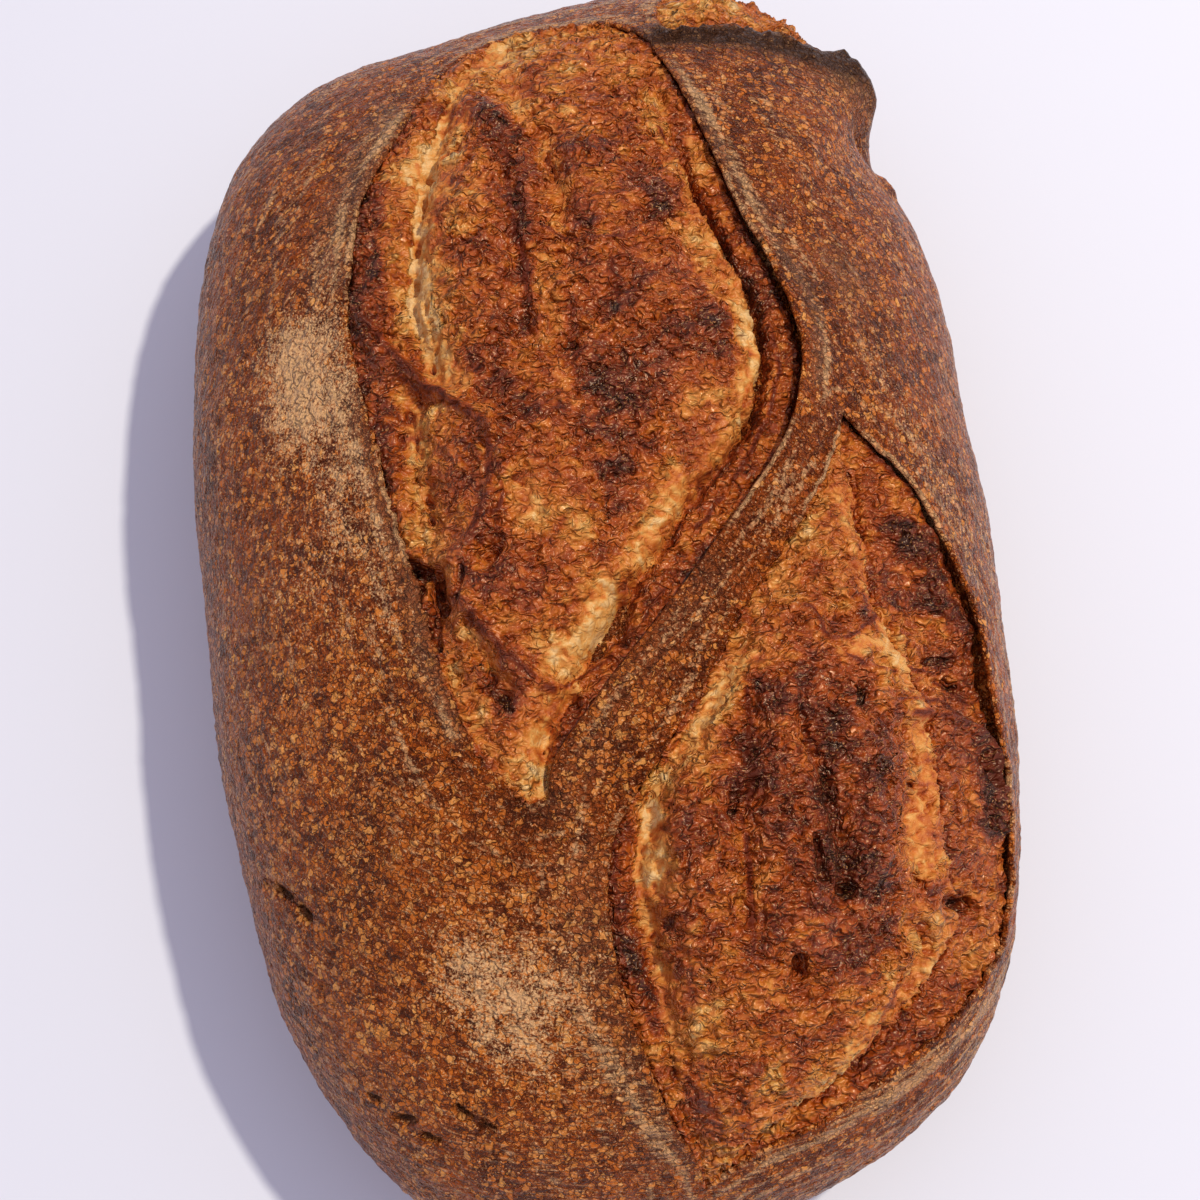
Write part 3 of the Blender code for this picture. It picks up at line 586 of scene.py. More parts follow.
def depth_inside(ring, places):
    """Distance to a closed ring, positive inside it and negative outside."""
    depth = distance_to(np.vstack([ring, ring[:1]]), places)
    return np.where(is_inside(ring, places), depth, -depth)


def strokes(lines, places, power=2):
    """Sum of strokes along short lines. A higher power gives them a crisper edge."""
    total = np.zeros(len(places))
    for points, half_width, strength in lines:
        away = distance_to(smooth_line(points, 4), places, 3 * half_width)
        total += strength * np.exp(-(away / half_width) ** power)
    return total


def steep_strokes(lines, places, power):
    """The height of steep strokes along short lines, and how much each place belongs to one."""
    height, share = np.zeros(len(places)), np.zeros(len(places))
    for points, half_width, size in lines:
        away = distance_to(smooth_line(points, 6), places, 3 * half_width) / half_width
        height = np.maximum(height, size * np.exp(-away ** power))
        share = np.maximum(share, np.exp(-away ** 4))
    return height, share


for name, (opening, folds, tints) in zip(("upper", "lower", "end"), OPENINGS):
    ring = opening_ring(opening)
    print(name, "opening:", np.ptp(ring, axis=0).round(), "mm,", len(folds), "folds")

# %% [markdown]
# ## Noise for the torn skin
# Real torn dough dries into thin curled flakes a millimetre or two wide. A repeated stamp would
# show its repeats, so the flakes come from smooth noise that is bent by a second, slower noise.
# The same values later colour the skin: creases and hollows are painted darker as painted shade,
# crests paler as a painted highlight, and the raised edges of the shingles browner.


# %% Noise at many places
def ripple(places, size, seed, octaves=1):
    """Smooth noise from about -1 to 1, with waves of that size."""
    depth = 7.3 * seed
    return np.array([noise.fractal((x, y, depth), 0.6, 2.1, octaves) for x, y in places / size])


def flakes(places, size, seed):
    """Thin curled ridges: 0 in the hollows, about 1 on the crests."""
    depth = 7.3 * seed
    return np.array([noise.ridged_multi_fractal((x, y, depth), 0.9, 2.1, 2, 1.0, 2.0)
                     for x, y in places / size]) / 1.4 - 0.2


def pebbles(places, size, seed):
    """Rounded lumps with sharp creases between them: 0 in the creases, about 1 on top."""
    depth = 7.3 * seed
    waves = np.array([noise.noise((x, y, depth)) for x, y in places / size])
    return np.sqrt(np.clip(5 * waves ** 2, 0, 1) + 0.02)


def shingles(places, size, seed):
    """Overlapping scales: each rises slowly from 0 to 1 and ends in a sharp torn edge."""
    slope = 2.5 * ripple(places, size, seed, 2)
    return slope - np.floor(slope)


def curled(places, reach, size, seed):
    """The same places, pushed about by slow noise so that straight features curl."""
    sideways = ripple(places, size, seed)
    lengthways = ripple(places, size, seed + 1)
    return places + reach * np.column_stack([sideways, lengthways])


# %% [markdown]
# ## The crust
# The crust is one closed skin: a fine grid spread over the unrolled loaf, with a hole for each
# opening. The holes' edges are pulled out into lips by extruding their edge loops a few times:
# over the rim, back under it and down into a pocket, which a last face closes. The bloom sits in
# that pocket, so the joint between the two is hidden as it is on a real loaf.

# %% A grid over the unrolled skin
CRUST_ACROSS = 280
CRUST_ALONG = 450
FINE_SHARE = 0.8        # share of the skin's length from top to foot that gets the fine grid


def unrolled(square):
    """Spread a flat square over the unrolled skin, with wider rows near the foot."""
    u, v = square[:, 0], square[:, 1]
    disc = np.column_stack([u * np.sqrt(1 - v ** 2 / 2), v * np.sqrt(1 - u ** 2 / 2)])
    stretched = disc * (LOAF_WIDTH, LOAF_LENGTH)
    angle = np.arctan2(stretched[:, 1], stretched[:, 0])
    reach = np.hypot(disc[:, 0], disc[:, 1])
    reach = FINE_SHARE * reach + (1 - FINE_SHARE) * reach ** 8
    length = reach * SKIN_LENGTH[-1] * plan_radius(angle)
    return np.column_stack([length * np.cos(angle), length * np.sin(angle)])


def remember_places(sheet, flat):
    """Store each point's unrolled place in the sheet, where extruded points inherit it."""
    across, along = (sheet.verts.layers.float.get(name) or sheet.verts.layers.float.new(name)
                     for name in ("across", "along"))
    for vert, place in zip(sheet.verts, flat):
        vert[across], vert[along] = place


def places_of(sheet):
    """The unrolled place of each point of a sheet."""
    across, along = (sheet.verts.layers.float[name] for name in ("across", "along"))
    return np.array([(vert[across], vert[along]) for vert in sheet.verts], float)


crust = bmesh.new()
bmesh.ops.create_grid(crust, x_segments=CRUST_ACROSS, y_segments=CRUST_ALONG, size=1.0)
remember_places(crust, unrolled(np.array([vert.co[:2] for vert in crust.verts])))
print("crust grid:", len(crust.verts), "points")


# %% Let the grid follow the openings' edges
def moved_onto(ring, places):
    """The nearest point of a closed ring to each place."""
    nearest = np.full(len(places), np.inf)
    moved = places.copy()
    for start, end in zip(ring, np.roll(ring, -1, axis=0)):
        run = end - start
        share = np.clip(((places - start) @ run) / (run @ run), 0, 1)
        foot = start + share[:, None] * run
        away = np.hypot(*(places - foot).T)
        moved[away < nearest] = foot[away < nearest]
        nearest = np.minimum(nearest, away)
    return moved


def cut_along(sheet, ring):
    """Make the sheet's own edges run along a ring, and take out the faces inside it."""
    sheet.verts.index_update()
    flat = places_of(sheet)
    depth = depth_inside(ring, flat)
    pairs = np.array([[vert.index for vert in edge.verts] for edge in sheet.edges])
    first, second = pairs[depth[pairs[:, 0]] * depth[pairs[:, 1]] < 0].T
    nearer = np.unique(np.where(abs(depth[first]) < abs(depth[second]), first, second))
    flat[nearer] = moved_onto(ring, flat[nearer])
    depth[nearer] = 0
    remember_places(sheet, flat)
    depths = dict(zip(sheet.verts, depth))
    sheet.verts.ensure_lookup_table()
    for face in {face for index in nearer for face in sheet.verts[index].link_faces}:
        corners = face.verts[:]
        signs = [np.sign(depths[corner]) for corner in corners]
        if len(corners) == 4 and signs[0] == signs[2] == 0 and signs[1] * signs[3] < 0:
            bmesh.utils.face_split(face, corners[0], corners[2])
        elif len(corners) == 4 and signs[1] == signs[3] == 0 and signs[0] * signs[2] < 0:
            bmesh.utils.face_split(face, corners[1], corners[3])
    inner = [face for face in sheet.faces if sum(depths[vert] for vert in face.verts) > 0]
    bmesh.ops.delete(sheet, geom=inner, context='FACES')


for opening, _, _ in OPENINGS:
    cut_along(crust, opening_ring(opening))
print("crust after the cuts:", len(crust.faces), "faces")

# %% Height of the crust
SWELL_SIZE = 42
SWELL_HEIGHT = 1.1
BLISTER_SIZE = 9
BLISTER_HEIGHT = 0.35
GRAIN_SIZE = 2.6
GRAIN_HEIGHT = 0.22
ROOT_LEVEL = 20         # relief fades out below this height, towards the flat underside
LIP_REACH = 9           # how fast a raised lip falls away from its edge
CRAG_SIZE = 4.2
CRAG_HEIGHT = 2.0
CRAG_REACH = 4.5        # how far the flap's burnt crags reach from its free edge
LINE_HEIGHT = 0.3
LINE_REACH = 22         # how far the lines beside the lips reach
FLANK_LEVEL = 60        # below this height the crust shows streaks along the loaf's outline
FLANK_FADE = 30
STREAK_HEIGHT = 0.45
WRAP_RADIUS = 90
WRAP_SQUEEZE = 3.5      # how much narrower than long those streaks are


def value_along(opening, name, places):
    """One of the opening's rows of values, read off at each place's share of its length."""
    tip = np.array(opening["left"][0], float)
    end = np.array(opening["left"][-1], float)
    share = np.clip((places - tip) @ (end - tip) / ((end - tip) @ (end - tip)), 0, 1)
    return np.interp(share, *zip(*opening[name]))


def lip_distance(flat):
    """Distance from each place to the nearest opening."""
    return np.min([abs(depth_inside(opening_ring(opening), flat)) for opening, _, _ in OPENINGS],
                  axis=0)


def wrapped(flat):
    """Coordinates that run along the loaf's outline, and across it."""
    angle = np.arctan2(flat[:, 1], flat[:, 0])
    across = WRAP_SQUEEZE * np.hypot(flat[:, 0], flat[:, 1])
    return np.column_stack([WRAP_RADIUS * np.cos(angle), WRAP_RADIUS * np.sin(angle), across])


def lip_lines(flat):
    """Fine lines that follow the lips, strongest beside them."""
    beside = lip_distance(flat)
    lines = ripple(np.column_stack([beside, flat[:, 1] / 12]), 2.2, 31, 2)
    return lines * np.exp(-beside / LINE_REACH)


def crust_relief(flat, plain):
    """Height of the crust over the plain loaf, in millimetres."""
    relief = strokes(CRUST_FOLDS, flat) - steep_strokes(CRUST_CRACKS, flat, 4)[0]
    free_edge = distance_to(smooth_line(END_TEAR["left"]), flat)
    crags = np.array([noise.fractal(place / CRAG_SIZE, 0.8, 2.1, 3) for place in plain])
    relief += CRAG_HEIGHT * np.exp(-free_edge / CRAG_REACH) * crags
    relief += LINE_HEIGHT * lip_lines(flat)
    streaks = np.array([noise.fractal(place / 7, 0.6, 2.1, 3) for place in wrapped(flat)])
    on_flank = np.clip((FLANK_LEVEL - plain[:, 2]) / FLANK_FADE, 0, 1)
    relief += STREAK_HEIGHT * streaks * on_flank
    for opening, _, _ in OPENINGS:
        from_left = distance_to(smooth_line(opening["left"]), flat)
        from_right = distance_to(smooth_line(opening["right"]), flat)
        left_lip = value_along(opening, "left_lip", flat) * np.exp(-from_left / LIP_REACH)
        right_lip = value_along(opening, "right_lip", flat) * np.exp(-from_right / LIP_REACH)
        relief += np.where(from_right < from_left, right_lip, left_lip)
    # the CAD solid is built in metres with the same two slow waves
    swell = np.array([noise.noise(place / SWELL_SIZE) for place in plain]) * SWELL_HEIGHT
    blister = np.array([noise.noise(place / BLISTER_SIZE) for place in plain]) * BLISTER_HEIGHT
    grain = np.array([noise.fractal(place / GRAIN_SIZE, 0.5, 2.1, 2) for place in plain])
    rooted = np.clip(plain[:, 2] / ROOT_LEVEL, 0, 1)
    return (relief + swell + blister + grain * GRAIN_HEIGHT) * rooted


crust_flat = places_of(crust)
crust_plain = loaf_point(crust_flat)
crust_height = crust_relief(crust_flat, crust_plain)
crust_shape = crust_plain + loaf_normal(crust_flat) * crust_height[:, None]
for vert, place in zip(crust.verts, crust_shape):
    vert.co = place
print("crust height:", round(crust_shape[:, 2].max(), 1), "mm")

# %% Extrude the lips
# Each step: how far the loop moves towards the opening, and how far up, in millimetres.
LIP_STEPS = [(0.45, -0.2), (0.25, -0.55), (-0.5, -0.6), (-1.6, -0.7), (-2.0, -5.0)]
RING_TOLERANCE = 0.01


def inward_of(ring, places, step=0.2):
    """Direction on the unrolled skin from the ring towards the opening, at each place."""
    slope = [(depth_inside(ring, places + shift) - depth_inside(ring, places - shift))
             for shift in (np.array([step, 0]), np.array([0, step]))]
    slope = np.column_stack(slope)
    return slope / np.maximum(np.linalg.norm(slope, axis=1), 1e-9)[:, None]


def lip_loop(sheet, ring):
    """The boundary edges that lie on one opening's ring."""
    edges = [edge for edge in sheet.edges if edge.is_boundary]
    across, along = (sheet.verts.layers.float[name] for name in ("across", "along"))
    ends = np.array([[(vert[across], vert[along]) for vert in edge.verts] for edge in edges])
    away = [abs(depth_inside(ring, ends[:, side])) for side in (0, 1)]
    return [edge for edge, gap in zip(edges, np.maximum(*away)) if gap < RING_TOLERANCE]


def pull_lip(sheet, ring, steps):
    """Extrude an opening's edge over its rim, under it and down, and close the pocket."""
    loop = lip_loop(sheet, ring)
    loop_verts = list({vert for edge in loop for vert in edge.verts})
    across, along = (sheet.verts.layers.float[name] for name in ("across", "along"))
    places = np.array([(vert[across], vert[along]) for vert in loop_verts], float)
    inward = loaf_point(places + inward_of(ring, places)) - loaf_point(places)
    inward /= np.linalg.norm(inward, axis=1)[:, None]
    direction = {vert: (Vector(side), Vector(up))
                 for vert, side, up in zip(loop_verts, inward, loaf_normal(places))}
    for inset, rise in steps:
        made = bmesh.ops.extrude_edge_only(sheet, edges=loop)
        new_verts = [part for part in made["geom"] if isinstance(part, bmesh.types.BMVert)]
        loop = [part for part in made["geom"]
                if isinstance(part, bmesh.types.BMEdge) and part.is_boundary]
        moved = {}
        for vert in new_verts:
            old = next(edge.other_vert(vert) for edge in vert.link_edges
                       if edge.other_vert(vert) in direction)
            side, up = direction[old]
            vert.co = old.co + side * inset + up * rise
            moved[vert] = (side, up)
        direction = moved
    bmesh.ops.holes_fill(sheet, edges=loop, sides=0)
    return len(loop)


for opening, _, _ in OPENINGS:
    print("lip with", pull_lip(crust, opening_ring(opening), LIP_STEPS), "edges")

# %% Close the sole
sole_rim = [edge for edge in crust.edges if edge.is_boundary]
for vert in {vert for edge in sole_rim for vert in edge.verts}:
    vert.co.z = 0.0
bmesh.ops.holes_fill(crust, edges=sole_rim, sides=0)
for edge in sole_rim:
    edge.smooth = False
bmesh.ops.recalc_face_normals(crust, faces=crust.faces)
print("open edges left:", sum(edge.is_boundary for edge in crust.edges))


# %% Turn a bmesh into a piece
def finished_piece(name, mesh_code, material_name):
    """A smooth object in metres, at the origin, from a bmesh in millimetres."""
    bmesh.ops.scale(mesh_code, vec=(MM, MM, MM), verts=mesh_code.verts)
    mesh = bpy.data.meshes.new(name)
    mesh_code.to_mesh(mesh)
    mesh_code.free()
    for face in mesh.polygons:
        face.use_smooth = True
    mesh.materials.append(bpy.data.materials.new(material_name))
    piece = bpy.data.objects.new(name, mesh)
    bpy.context.scene.collection.objects.link(piece)
    triangles = sum(len(face.vertices) - 2 for face in mesh.polygons)
    print(name, triangles, "triangles")
    return piece


def paint(piece, name, values):
    """Store one number per point of a piece for its material to read."""
    layer = piece.data.attributes.new(name, 'FLOAT', 'POINT')
    layer.data.foreach_set("value", np.asarray(values, np.float32))


# %% [markdown]
# ## Where the crust is floured, grey or burnt
# The proofing basket leaves flour on the crust in patches and in lines. Next to a lip the skin is
# thin and grey, and the free edge of the torn flap is burnt. The narrow cracks in the crust are
# painted near black as painted shade.

# %% Strokes on the crust
FLOUR_STROKES = [
    ([(-63, 45), (-62, 36), (-61, 29)], 9.0, 1.1),
    ([(-55, 68), (-53, 56), (-53, 44), (-51, 33), (-52, 22), (-50, 11)], 4.0, 0.4),
    ([(-60, 18), (-58, 9), (-56, -2)], 2.5, 0.4),
    ([(-55, 14), (-54, 5), (-49, -5), (-47, -15), (-45, -23)], 2.5, 0.5),
    ([(-50, 19), (-48, 7), (-45, -5)], 1.8, 0.5),
    ([(-69, -10), (-61, -9), (-58, -21)], 9.0, 0.25),
    ([(-36, -112), (-27, -114), (-24, -119)], 5.0, 0.3),
    ([(-35, -95), (-30, -101)], 10.0, 0.85),
    ([(-19, -109), (-15, -97)], 9.0, 0.4),
    ([(-57, 123), (-49, 127)], 5.0, 0.5),
    ([(63, 33), (76, 8), (85, -17)], 5.0, 0.35),
]
GREY_STROKES = [
    ([(-37, 103), (-47, 81), (-53, 61)], 5.0, 0.8),
    ([(-51, 34), (-49, 18), (-45, 3), (-41, -13), (-38, -32), (-34, -46)], 2.8, 0.7),
    ([(21, -19), (-1, -45), (-13, -63)], 5.0, 0.25),
    ([(28, 107), (37, 77), (45, 57), (51, 39), (49, 23)], 1.6, 0.9),
    ([(-11, -77), (-12, -97), (-7, -119), (1, -137)], 6.0, 0.4),
    ([(59, 52), (61, 49)], 6.0, 0.6),
    ([(79, 118), (73, 113)], 7.0, 0.9),
]
BLISTER_STROKES = [
    ([(4, -40), (-2, -52), (-8, -62)], 6.0, 0.35),
    ([(-58, -108), (-52, -120)], 12.0, 0.25),
    ([(44, 8), (21, -19), (-1, -45), (-13, -63)], 14.0, -0.18),
    ([(-59, -47), (-47, -81), (-19, -115)], 24.0, 0.28),
    ([(-73, 43), (-75, -17)], 14.0, 0.1),
    ([(61, 98), (73, 63)], 16.0, 0.15),
]
CHAR_STROKES = [
    ([(-79, -11), (-76, -20)], 6.0, 0.14),
    ([(-74, 55), (-72, 64)], 7.0, 0.1),
    ([(27, 118), (37, 118), (47, 119), (60, 118), (70, 118), (81, 124)], 5.0, 0.75),
    ([(75, 119), (81, 113)], 5.0, 0.3),
    ([(-21, -63), (-25, -69)], 7.0, 0.12),
    ([(-51, -63), (-55, -83)], 12.0, 0.1),
    ([(59, 52), (65, 33)], 7.0, 0.1),
]


# %% Paint the crust
crust_flat = places_of(crust)
crust_piece = finished_piece("crust", crust, "baked_crust")
paint(crust_piece, "flour", strokes(FLOUR_STROKES, crust_flat))
paint(crust_piece, "grey", strokes(GREY_STROKES, crust_flat))
# Painted shade: the cracks in the crust are painted near black through the same value as the burnt
# flap edge.
crack_share = steep_strokes(CRUST_CRACKS, crust_flat, 4)[1]
paint(crust_piece, "char_and_crack_shade", strokes(CHAR_STROKES, crust_flat) + 0.6 * crack_share)
paint(crust_piece, "blistered", strokes(BLISTER_STROKES, crust_flat) - 0.2)
paint(crust_piece, "lines", lip_lines(crust_flat) + 0.1 * np.exp(-lip_distance(crust_flat) / 12))
on_flank = (FLANK_LEVEL - loaf_point(crust_flat)[:, 2]) / FLANK_FADE
paint(crust_piece, "flank", np.clip(on_flank, -0.3, 1))
layer = crust_piece.data.attributes.new("wrap", 'FLOAT_VECTOR', 'POINT')
layer.data.foreach_set("vector", wrapped(crust_flat).astype(np.float32).ravel())

# %% [markdown]
# ## The blooms
# A bloom is the crumb that pushed up through a score. Each is a fine grid cut out around its
# opening, wide enough to tuck under the lips. Its points rise to the dome, sink in the cracks and
# move with the folds and flakes, and then its border is extruded down and closed, so it is a
# solid cushion that sits in the crust's pocket.

# %% A sheet cut to an opening
BLOOM_STEP = 0.42
TUCK = 4.0              # how far a bloom reaches under the lips


def bloom_sheet(opening):
    """A fine flat grid over an opening and a little more, and its flat places."""
    ring = opening_ring(opening)
    low, high = ring.min(axis=0) - TUCK, ring.max(axis=0) + TUCK
    across, along = np.ceil((high - low) / BLOOM_STEP).astype(int)
    sheet = bmesh.new()
    bmesh.ops.create_grid(sheet, x_segments=int(across), y_segments=int(along), size=0.5)
    bmesh.ops.scale(sheet, vec=(*(high - low), 1), verts=sheet.verts)
    bmesh.ops.translate(sheet, vec=(*((high + low) / 2), 0), verts=sheet.verts)
    depth = depth_inside(ring, np.array([vert.co[:2] for vert in sheet.verts]))
    outer = [vert for vert, inside in zip(sheet.verts, depth) if inside < -TUCK]
    bmesh.ops.delete(sheet, geom=outer, context='VERTS')
    return sheet, np.array([vert.co[:2] for vert in sheet.verts])


def keep(sheet, name, values):
    """Store one number per point in a sheet before it is extruded."""
    layer = sheet.verts.layers.float.new(name)
    for vert, value in zip(sheet.verts, values):
        vert[layer] = value


# %% Where each place lies in its opening
JAG = 1.1               # how far the torn edges of the bands wander


def placed(opening, flat):
    """Distances past the two bands, and how far across the dome each place is."""
    fields = {"from_left": distance_to(smooth_line(opening["left"]), flat),
              "from_right": distance_to(smooth_line(opening["right"]), flat)}
    depth = depth_inside(opening_ring(opening), flat)
    fields["outside"] = np.clip(-depth, 0, None)
    jag = JAG * ripple(flat, 3.4, 5, 3)
    fields["past_left"] = fields["from_left"] - value_along(opening, "left_band", flat) - jag
    fields["past_right"] = fields["from_right"] - value_along(opening, "right_band", flat) - jag
    across = np.clip(fields["past_left"], 0, None)
    across /= np.maximum(across + np.clip(fields["past_right"], 0, None), 1e-6)
    fields["across"] = across
    return fields


# %% Height of a bloom
BAND_SLOPE = 0.18
SLOPE_REACH = 10.0
BAND_CROWN = 0.9
DOME_POWER = 0.6
LEFT_CRACK = 2.0
RIGHT_CRACK = 1.0
FLAKE_HEIGHT = 0.45
PEBBLE_HEIGHT = 1.0
SMALL_HEIGHT = 0.3
LUMP_HEIGHT = 0.7
SCALE_HEIGHT = 1.0
BUBBLE_HEIGHT = 0.7
PORE_DEPTH = 1.1
FOLD_WANDER = 1.6
STRAND_WANDER = 0.8
STRAND_BROWN = 0.86


def bloom_relief(opening, folds, flat, fields):
    """Height of the bloom over the plain loaf, in millimetres, without its flakes."""
    value = {name: value_along(opening, name, flat) for name in opening
             if isinstance(opening[name][0][1], (int, float)) and name not in ("left", "right")}
    past_left, past_right, across = fields["past_left"], fields["past_right"], fields["across"]
    crown = np.sin(np.pi * np.clip(fields["from_left"] / value["left_band"], 0, 1))
    left_strip = BAND_CROWN * crown - value["left_drop"]
    sloping = np.minimum(fields["from_right"], value["right_band"])
    slope = BAND_SLOPE * np.minimum(sloping, SLOPE_REACH)
    right_strip = -value["right_drop"] - slope
    floor = -value["left_drop"] * (1 - across) + right_strip * across
    dome = value["rise"] * np.sin(np.pi * across) ** DOME_POWER
    bloom = np.where(past_left < 0, left_strip, floor + dome)
    bloom = np.where(past_right < 0, right_strip, bloom)
    left_crack = np.exp(-(past_left / LEFT_CRACK - 1) ** 2) * (past_right > 0)
    right_crack = np.exp(-(past_right / RIGHT_CRACK - 1) ** 2) * (past_left > 0)
    bloom -= value["left_gap"] * left_crack + value["right_gap"] * right_crack
    bloom += strokes(folds, curled(flat, FOLD_WANDER, 5.0, 41))
    under_lip = -1.2 * fields["outside"] - 0.4 * (fields["outside"] > 0)
    return bloom + under_lip


# %% How brown a bloom is, and where shade is painted on it
def past_share(past, reach):
    """1 beside the band, falling to 0 at the end of the crumb's reach."""
    return np.clip(1.25 - past / reach, 0, 1) ** 0.7


def bloom_browning_and_shade(opening, tints, flat, fields):
    """Browning from 0, pale crumb, to 1, burnt, with painted shade in the right crack, and how much
    open crumb shows.
    """
    value = {name: value_along(opening, name, flat) for name in
             ("browning", "left_crumb", "right_crumb", "left_reach", "right_reach",
              "left_brown", "right_brown", "left_gap", "right_gap")}
    wander = 2.6 * ripple(curled(flat, 1.5, 4.0, 47), 5.5, 43, 3)
    in_gap = (fields["past_left"] > 0) & (fields["past_right"] > 0)
    left = value["left_crumb"] * past_share(fields["past_left"] + wander, value["left_reach"])
    right = value["right_crumb"] * past_share(fields["past_right"] + wander, value["right_reach"])
    crumb = np.where(in_gap, np.maximum(left, right), 0)
    on_left = np.clip(-fields["past_left"] / 1.2, 0, 1)
    on_right = np.clip(-fields["past_right"] / 1.2, 0, 1) * (1 - on_left)
    brown_and_shade = value["browning"] * (1 - on_left - on_right) - crumb
    brown_and_shade += value["left_brown"] * on_left + value["right_brown"] * on_right
    brown_and_shade += 0.14 * np.exp(-(np.minimum(fields["from_left"], fields["from_right"]) / 1.2) ** 2)
    # Painted shade: the right crack is painted darker, where the band's edge shades it.
    right_crack_shade = np.exp(-(fields["past_right"] / RIGHT_CRACK - 0.6) ** 2)
    brown_and_shade += 0.08 * value["right_gap"] * right_crack_shade * (fields["past_left"] > 0)
    brown_and_shade += strokes(tints, curled(flat, FOLD_WANDER, 5.0, 41), 3)
    return brown_and_shade, crumb


# %% Make the blooms
def bloom_piece(name, opening, folds, tints, seed):
    """One finished bloom with its browning painted on."""
    sheet, flat = bloom_sheet(opening)
    fields = placed(opening, flat)
    brown_and_shade, crumb = bloom_browning_and_shade(opening, tints, flat, fields)
    bent = curled(flat, 1.5, 2.8, seed)
    flake = flakes(bent * (0.55, 1.2), 2.6, seed)
    pebble = pebbles(curled(flat, 1.2, 3.0, seed + 9) * (0.75, 1.15), 2.6, seed + 10)
    small = pebbles(bent * (0.9, 1.1), 1.3, seed + 11)
    scale = shingles(bent * (0.7, 1.2), 7.5, seed + 6)
    flaky = np.clip(0.85 + 0.8 * ripple(flat, 11.0, seed + 7), 0.35, 1.3)
    bubble = np.array([noise.voronoi((x, y, seed))[0][0] for x, y in bent / 2.2])
    bubble = np.clip(1 - (bubble / 0.62) ** 2, 0, 1) * np.clip(3 * ripple(flat, 9.0, seed + 8), 0, 1)
    pores = np.array([noise.voronoi((x, y, seed))[0][0] for x, y in bent * (0.9, 0.55) / 1.7])
    pit = np.clip(1 - pores / 0.42, 0, 1) * np.clip((0.42 - brown_and_shade) / 0.15, 0, 1)
    lumps = ripple(curled(flat, 3.0, 9.0, seed + 2), 6.5, seed + 3, 3)
    patches = ripple(curled(flat, 4.0, 14.0, seed + 4), 13.0, seed + 5, 3)
    wandering = curled(flat, STRAND_WANDER, 4.0, 41)
    strand, on_strand = steep_strokes(STRANDS[name], wandering, 2)
    on_strand *= np.clip(0.85 + 1.6 * ripple(flat, 2.4, seed + 12), 0, 1)
    hole, in_hole = steep_strokes(HOLES[name], wandering, 4)
    in_band = np.clip(-np.minimum(fields["past_left"], fields["past_right"]) / 1.5, 0, 1)
    pale = np.clip((0.38 - brown_and_shade) / 0.2, 0, 1)
    rough = (1 - 0.35 * pale) * (1 - 0.8 * on_strand) * (1 - 0.4 * in_band)
    height = bloom_relief(opening, folds, flat, fields)
    height += rough * flaky * (FLAKE_HEIGHT * (flake - 0.5) + PEBBLE_HEIGHT * (pebble - 0.5)
                               + SMALL_HEIGHT * (small - 0.5) + SCALE_HEIGHT * (scale - 0.5))
    height += LUMP_HEIGHT * lumps - PORE_DEPTH * pit + BUBBLE_HEIGHT * bubble + strand - hole
    plain = loaf_point(flat)
    up = loaf_normal(flat)
    # the CAD solid's slow waves carry the bloom too
    swell = np.array([noise.noise(place / SWELL_SIZE) for place in plain]) * SWELL_HEIGHT
    rooted = np.clip(plain[:, 2] / ROOT_LEVEL, 0, 1)
    shape = plain + up * ((height + swell) * rooted)[:, None]
    for vert, place in zip(sheet.verts, shape):
        vert.co = place
    # Painted shade and highlight: creases between flakes and pebbles are painted browner, and their
    # crests paler.
    brown_and_shade += 0.08 * (0.5 - flake) + 0.1 * (0.6 - pebble) + 0.06 * (0.5 - small)
    brown_and_shade += 0.1 * (scale - 0.5) + 0.1 * lumps + 0.2 * patches
    # Painted shade in the pits and holes, and a painted highlight on the raised bubbles.
    brown_and_shade += 0.3 * pit - 0.14 * bubble + 0.22 * in_hole
    brown_and_shade += pale * (0.08 + 0.3 * ripple(bent * (0.8, 1.3), 3.0, seed + 13, 2))
    brown_and_shade += (np.maximum(brown_and_shade, STRAND_BROWN) - brown_and_shade) * on_strand
    keep(sheet, "brown_and_shade", np.clip(brown_and_shade, 0.08, 0.9))
    keep(sheet, "strand", on_strand)
    keep(sheet, "crumb", np.clip(np.maximum(crumb * 2.2, pale) + 0.2 * patches, 0, 1))
    rim = [edge for edge in sheet.edges if edge.is_boundary]
    made = bmesh.ops.extrude_edge_only(sheet, edges=rim)
    bottom = [part for part in made["geom"] if isinstance(part, bmesh.types.BMVert)]
    bmesh.ops.translate(sheet, vec=-Vector(up.mean(axis=0)) * TUCK, verts=bottom)
    rim = [part for part in made["geom"]
           if isinstance(part, bmesh.types.BMEdge) and part.is_boundary]
    bmesh.ops.holes_fill(sheet, edges=rim, sides=0)
    bmesh.ops.recalc_face_normals(sheet, faces=sheet.faces)
    return finished_piece(name, sheet, "torn_skin")


upper_bloom = bloom_piece("upper_bloom", UPPER_SCORE, UPPER_FOLDS, UPPER_TINTS, 11)
lower_bloom = bloom_piece("lower_bloom", LOWER_SCORE, LOWER_FOLDS, LOWER_TINTS, 23)
end_bloom = bloom_piece("end_bloom", END_TEAR, [], END_TINTS, 37)


# %% [markdown]
# ## Materials
# Bread looks right when three things hold: the colour runs through cream, orange and red-brown
# to near black, the fine grain casts its own small shadows, and the baked surface has a low, warm
# gloss, which is weaker on the open crumb and on the dried strands. The painted values choose the
# colour, and fine noise in the material breaks it up below the size of the mesh.


